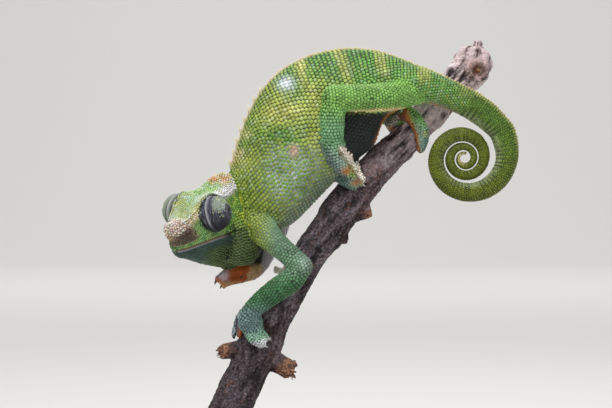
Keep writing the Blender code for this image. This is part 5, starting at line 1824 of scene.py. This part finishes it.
def makePerch():
    tubes, loose = perchTubes()
    mesh = joined([fused(joined(tubes), bark["voxel"], bark["smoothing"])] + loose)
    middles, radii, down, left = (
        np.array([tuple(v) if isinstance(v, Vector) else v for v in values])
        for values in zip(*[perchAt(row) for row in np.arange(48, 454, 1.0)]))
    walk = walked(middles)
    points, normals = vertexArray(mesh), normalArray(mesh)
    tree = treeOf(middles)
    ids = np.array([tree.find(p)[1] for p in points.tolist()])
    off = points - middles[ids]
    ahead = (off * down[ids]).sum(axis=1)
    aside = (off * left[ids]).sum(axis=1)
    toward = -off[:, 1]
    far = np.hypot(aside, toward) + 1e-9
    length = walk[ids] + ahead
    space = np.stack([length * 0.3, aside / far * 5.5 * mm, toward / far * 5.5 * mm], axis=1)
    ridges = grain(space, 420, 2, octaves=4)
    cracks = 1 - np.abs(grain(space, 300, 7, (1.6, 1, 1), 4)) * 6.5
    bumps = grain(points, 150, 4)
    fine = grain(points, 1300, 1)
    stub = step(far / radii[ids], 1.18, 1.5)
    push = bark["ridge"] * ridges * (1 - 0.5 * stub) + bark["bump"] * bumps + bark["fine"] * fine
    column, row = onGrid(points)
    pale = step(row, 190, 110)
    cracks -= 0.7 * pale
    push -= bark["crack"] * np.clip(cracks, 0, 1) ** 2 * (1 - stub)
    torn = step(far / radii[ids], 1.45, 1.8) * (row > 330)
    push += bark["torn"] * torn * grain(points, 620, 5, octaves=4)
    hub = np.hypot(column - 478, row - 70.6)
    facing = (points[:, 1] < 11 * mm) * step(-normals[:, 1], 0.1, 0.5)
    rings = bell(hub, 7.6, 2.4) - bell(hub, 4.2, 1.6) + 0.5 * bell(hub, 0, 2.4)
    push += bark["collar"] * facing * rings
    push += 0.5 * pale * grain(points, 330, 6)
    setVertices(mesh, points + normals * push[:, None] * mm)

    points = vertexArray(mesh)
    column, row = onGrid(points)
    wave = grain(points, 70, 8)
    weathered = step(row, 190, 120) * np.clip(0.95 + 1.2 * ridges + 0.6 * bumps, 0, 1)
    rust = np.clip(wave * 1.2 - 0.3, 0, 1)
    for level, middle, wide in bark["rusty"]:
        rust = np.maximum(rust, np.exp(-((column - middle) ** 2 + (row - level) ** 2) / wide**2)
                          * np.clip(0.9 + wave, 0, 1))
    facing = points[:, 1] < 9 * mm
    tint = layered(
        "barkDark", ("bark", np.clip(0.7 + 1.3 * ridges + 0.7 * fine, 0, 1)),
        ("barkPale", np.clip(ridges * 1.3 + bumps * 0.7 + wave * 0.8 - 0.25, 0, 1) * 0.8),
        ("knob", weathered * np.where(row < 130, 1, 0.55)),
        ("barkRust", np.clip(rust, 0, 1) * np.clip(0.55 + fine, 0, 1) * 0.75),
        ("stub", stub * np.clip(0.75 + 0.8 * fine, 0, 1) * 0.85),
        ("heart", bell(hub, 0, 6.6) * facing),
        ("palmEdge", dot(column, row, 478.5, 69, 1.6) * facing * 0.9),
        ("barkDark", np.clip(cracks - 0.25, 0, 1) * (1 - stub) * 0.7))
    twig = (column < 291) & (column > 262) & (np.abs(row - 269) < 9)
    tint = blend(tint * (1 + 0.16 * wave + 0.3 * fine)[:, None], "white", twig * 0.95)
    tinted(mesh, "tint", np.clip(tint, 0, 1))
    valued(mesh, "dark", np.where(twig, 0.15, 1 - 0.65 * step(row, 190, 110)))

    bm = bmesh.new()
    bm.from_mesh(mesh)
    bmesh.ops.bisect_plane(bm, geom=bm.verts[:] + bm.edges[:] + bm.faces[:], dist=1e-7,
                           plane_co=(0, 0, perch["cut"] * mm), plane_no=(0, 0, 1),
                           clear_inner=True)
    closed(bm)
    bm.to_mesh(mesh)
    bm.free()
    mesh.shade_smooth()
    look = Finish("bark", Roughness=0.82, Specular_IOR_Level=0.3)
    speckle = look.noise(1700, 5, 0.7)
    flake = look.noise(520, 5, 0.65)
    lumps = look.cells(1250)
    base = look.mix(look.spread(speckle, 0.52, 0.78) * 0.45, look.attribute("tint"),
                    tone(168, 156, 158))
    dark = look.attribute("dark", "Fac") * 0.55
    base = look.mix(look.spread(speckle, 0.44, 0.28) * dark, base, tone(24, 18, 20))
    base = look.mix(look.spread(lumps, 0.34, 0.66) * dark, base, tone(30, 22, 25))
    base = look.mix(look.spread(flake, 0.6, 0.68) * dark, base, tone(142, 84, 56))
    piece = newPiece("perchBark", mesh, look.wear(
        Base_Color=base, Roughness=look.spread(flake, 0.3, 0.7, (0.68, 0.92)),
        Normal=look.bump(speckle + flake * 1.5 - lumps * 1.4, 0.0003, 1)))
    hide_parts("perch_branch")
    print("perch triangles:", sum(len(p.vertices) - 2 for p in mesh.polygons))


print("perch")
makePerch()


# Stand: dark satin wood and a brushed rod, on the CAD nodes themselves

def dressNode(node, material):
    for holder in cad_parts[node].material_slots:
        holder.material = material


def standWood():
    look = Finish("darkWood", Roughness=0.42, Coat_Weight=0.25, Coat_Roughness=0.25)
    stretched = look.where((6, 60, 60))
    rings = look.noise(4.2, 6, 0.62, stretched)
    pores = look.noise(30, 4, 0.7, stretched)
    base = look.mix(look.spread(rings, 0.32, 0.68), tone(34, 24, 20), tone(78, 54, 42))
    base = look.mix(look.spread(pores, 0.6, 0.8) * 0.55, base, tone(18, 13, 12))
    return look.wear(Base_Color=base, Roughness=look.spread(pores, 0.3, 0.7, (0.34, 0.52)),
                     Normal=look.bump(rings * 0.5 - pores, 0.00012, 0.5))


def rodSteel():
    look = Finish("brushedRod", Metallic=1, Roughness=0.3)
    brushed = look.noise(6000, 3, 0.6, look.where((1, 1, 0.03)))
    cloud = look.noise(90)
    base = look.mix(brushed, tone(150, 150, 152), tone(196, 196, 198))
    rough = look.spread(brushed + cloud * 0.4, 0.3, 1, (0.22, 0.42))
    return look.wear(Base_Color=base, Roughness=rough, Normal=look.bump(brushed, 0.00002, 0.6))


dressNode("stand_base", standWood())
dressNode("stand_rod", rodSteel())


# Camera, light and floor

view = {
    "lens": 121.6, "sensor": 36, "floorTone": (232, 230, 226), "skyTone": (236, 238, 242),
    "sky": 0.37, "floorDrop": 0.0005,
    "lights": [     # name, size, power, where it hangs and what it lights, in metres
        ("key", 0.34, 6.2, (-0.16, -0.42, 0.84), (0, 0, 0.09)),
        ("fill", 0.8, 0.8, (0.6, -0.6, 0.35), (0, 0, 0.09)),
        ("rim", 0.5, 2.4, (0.1, 0.5, 0.75), (0, 0, 0.09)),
        ("backdrop", 2.4, 44, (0, 1.9, 2.2), (0, 3.9, 0.2))],
}


def makeStage():
    camera = bpy.data.cameras.new("camera")
    camera.lens = view["lens"]
    camera.sensor_width = view["sensor"]
    camera.clip_start = 0.01
    eye = inScene("camera", camera)
    eye.location = (0, -eyeDistance, gridMiddleHeight)
    eye.rotation_euler = (math.pi / 2, 0, 0)
    bpy.context.scene.camera = eye

    bm = bmesh.new()
    low = -view["floorDrop"]
    edge = bm.edges.new([bm.verts.new((x, -3, low)) for x in (-3, 3)])
    curve = [(3 + 1.5 * math.sin(a), 1.5 - 1.5005 * math.cos(a))
             for a in np.linspace(0.1, math.pi / 2, 12)]
    for y, z in [(3, low), *curve, (4.5, 4)]:
        grown = bmesh.ops.extrude_edge_only(bm, edges=[edge])["geom"]
        for vertex in (g for g in grown if isinstance(g, bmesh.types.BMVert)):
            vertex.co.y, vertex.co.z = y, z
        edge = next(g for g in grown if isinstance(g, bmesh.types.BMEdge)
                    and all(abs(v.co.y - y) < 1e-6 for v in g.verts))
    bmesh.ops.recalc_face_normals(bm, faces=bm.faces)
    mesh = meshOf(bm, "floor")
    mesh.shade_smooth()
    sweep = inScene("floor", mesh)
    mesh.materials.append(Finish("paleFloor", Base_Color=tone(*view["floorTone"]),
                                 Roughness=0.9).material)

    for name, size, power, where, aim in view["lights"]:
        light = bpy.data.lights.new(name, "AREA")
        light.size = size
        light.energy = power
        lamp = inScene(name, light)
        lamp.location = where
        lamp.rotation_euler = (Vector(aim) - Vector(where)).to_track_quat("-Z", "Y").to_euler()
        lamp.visible_camera = False
    bpy.context.scene.view_settings.view_transform = "Standard"
    world = bpy.data.worlds.new("world")
    bpy.context.scene.world = world
    world.use_nodes = True
    sky = world.node_tree.nodes["Background"].inputs
    sky["Color"].default_value = tone(*view["skyTone"])
    sky["Strength"].default_value = view["sky"]


makeStage()
print("finished")
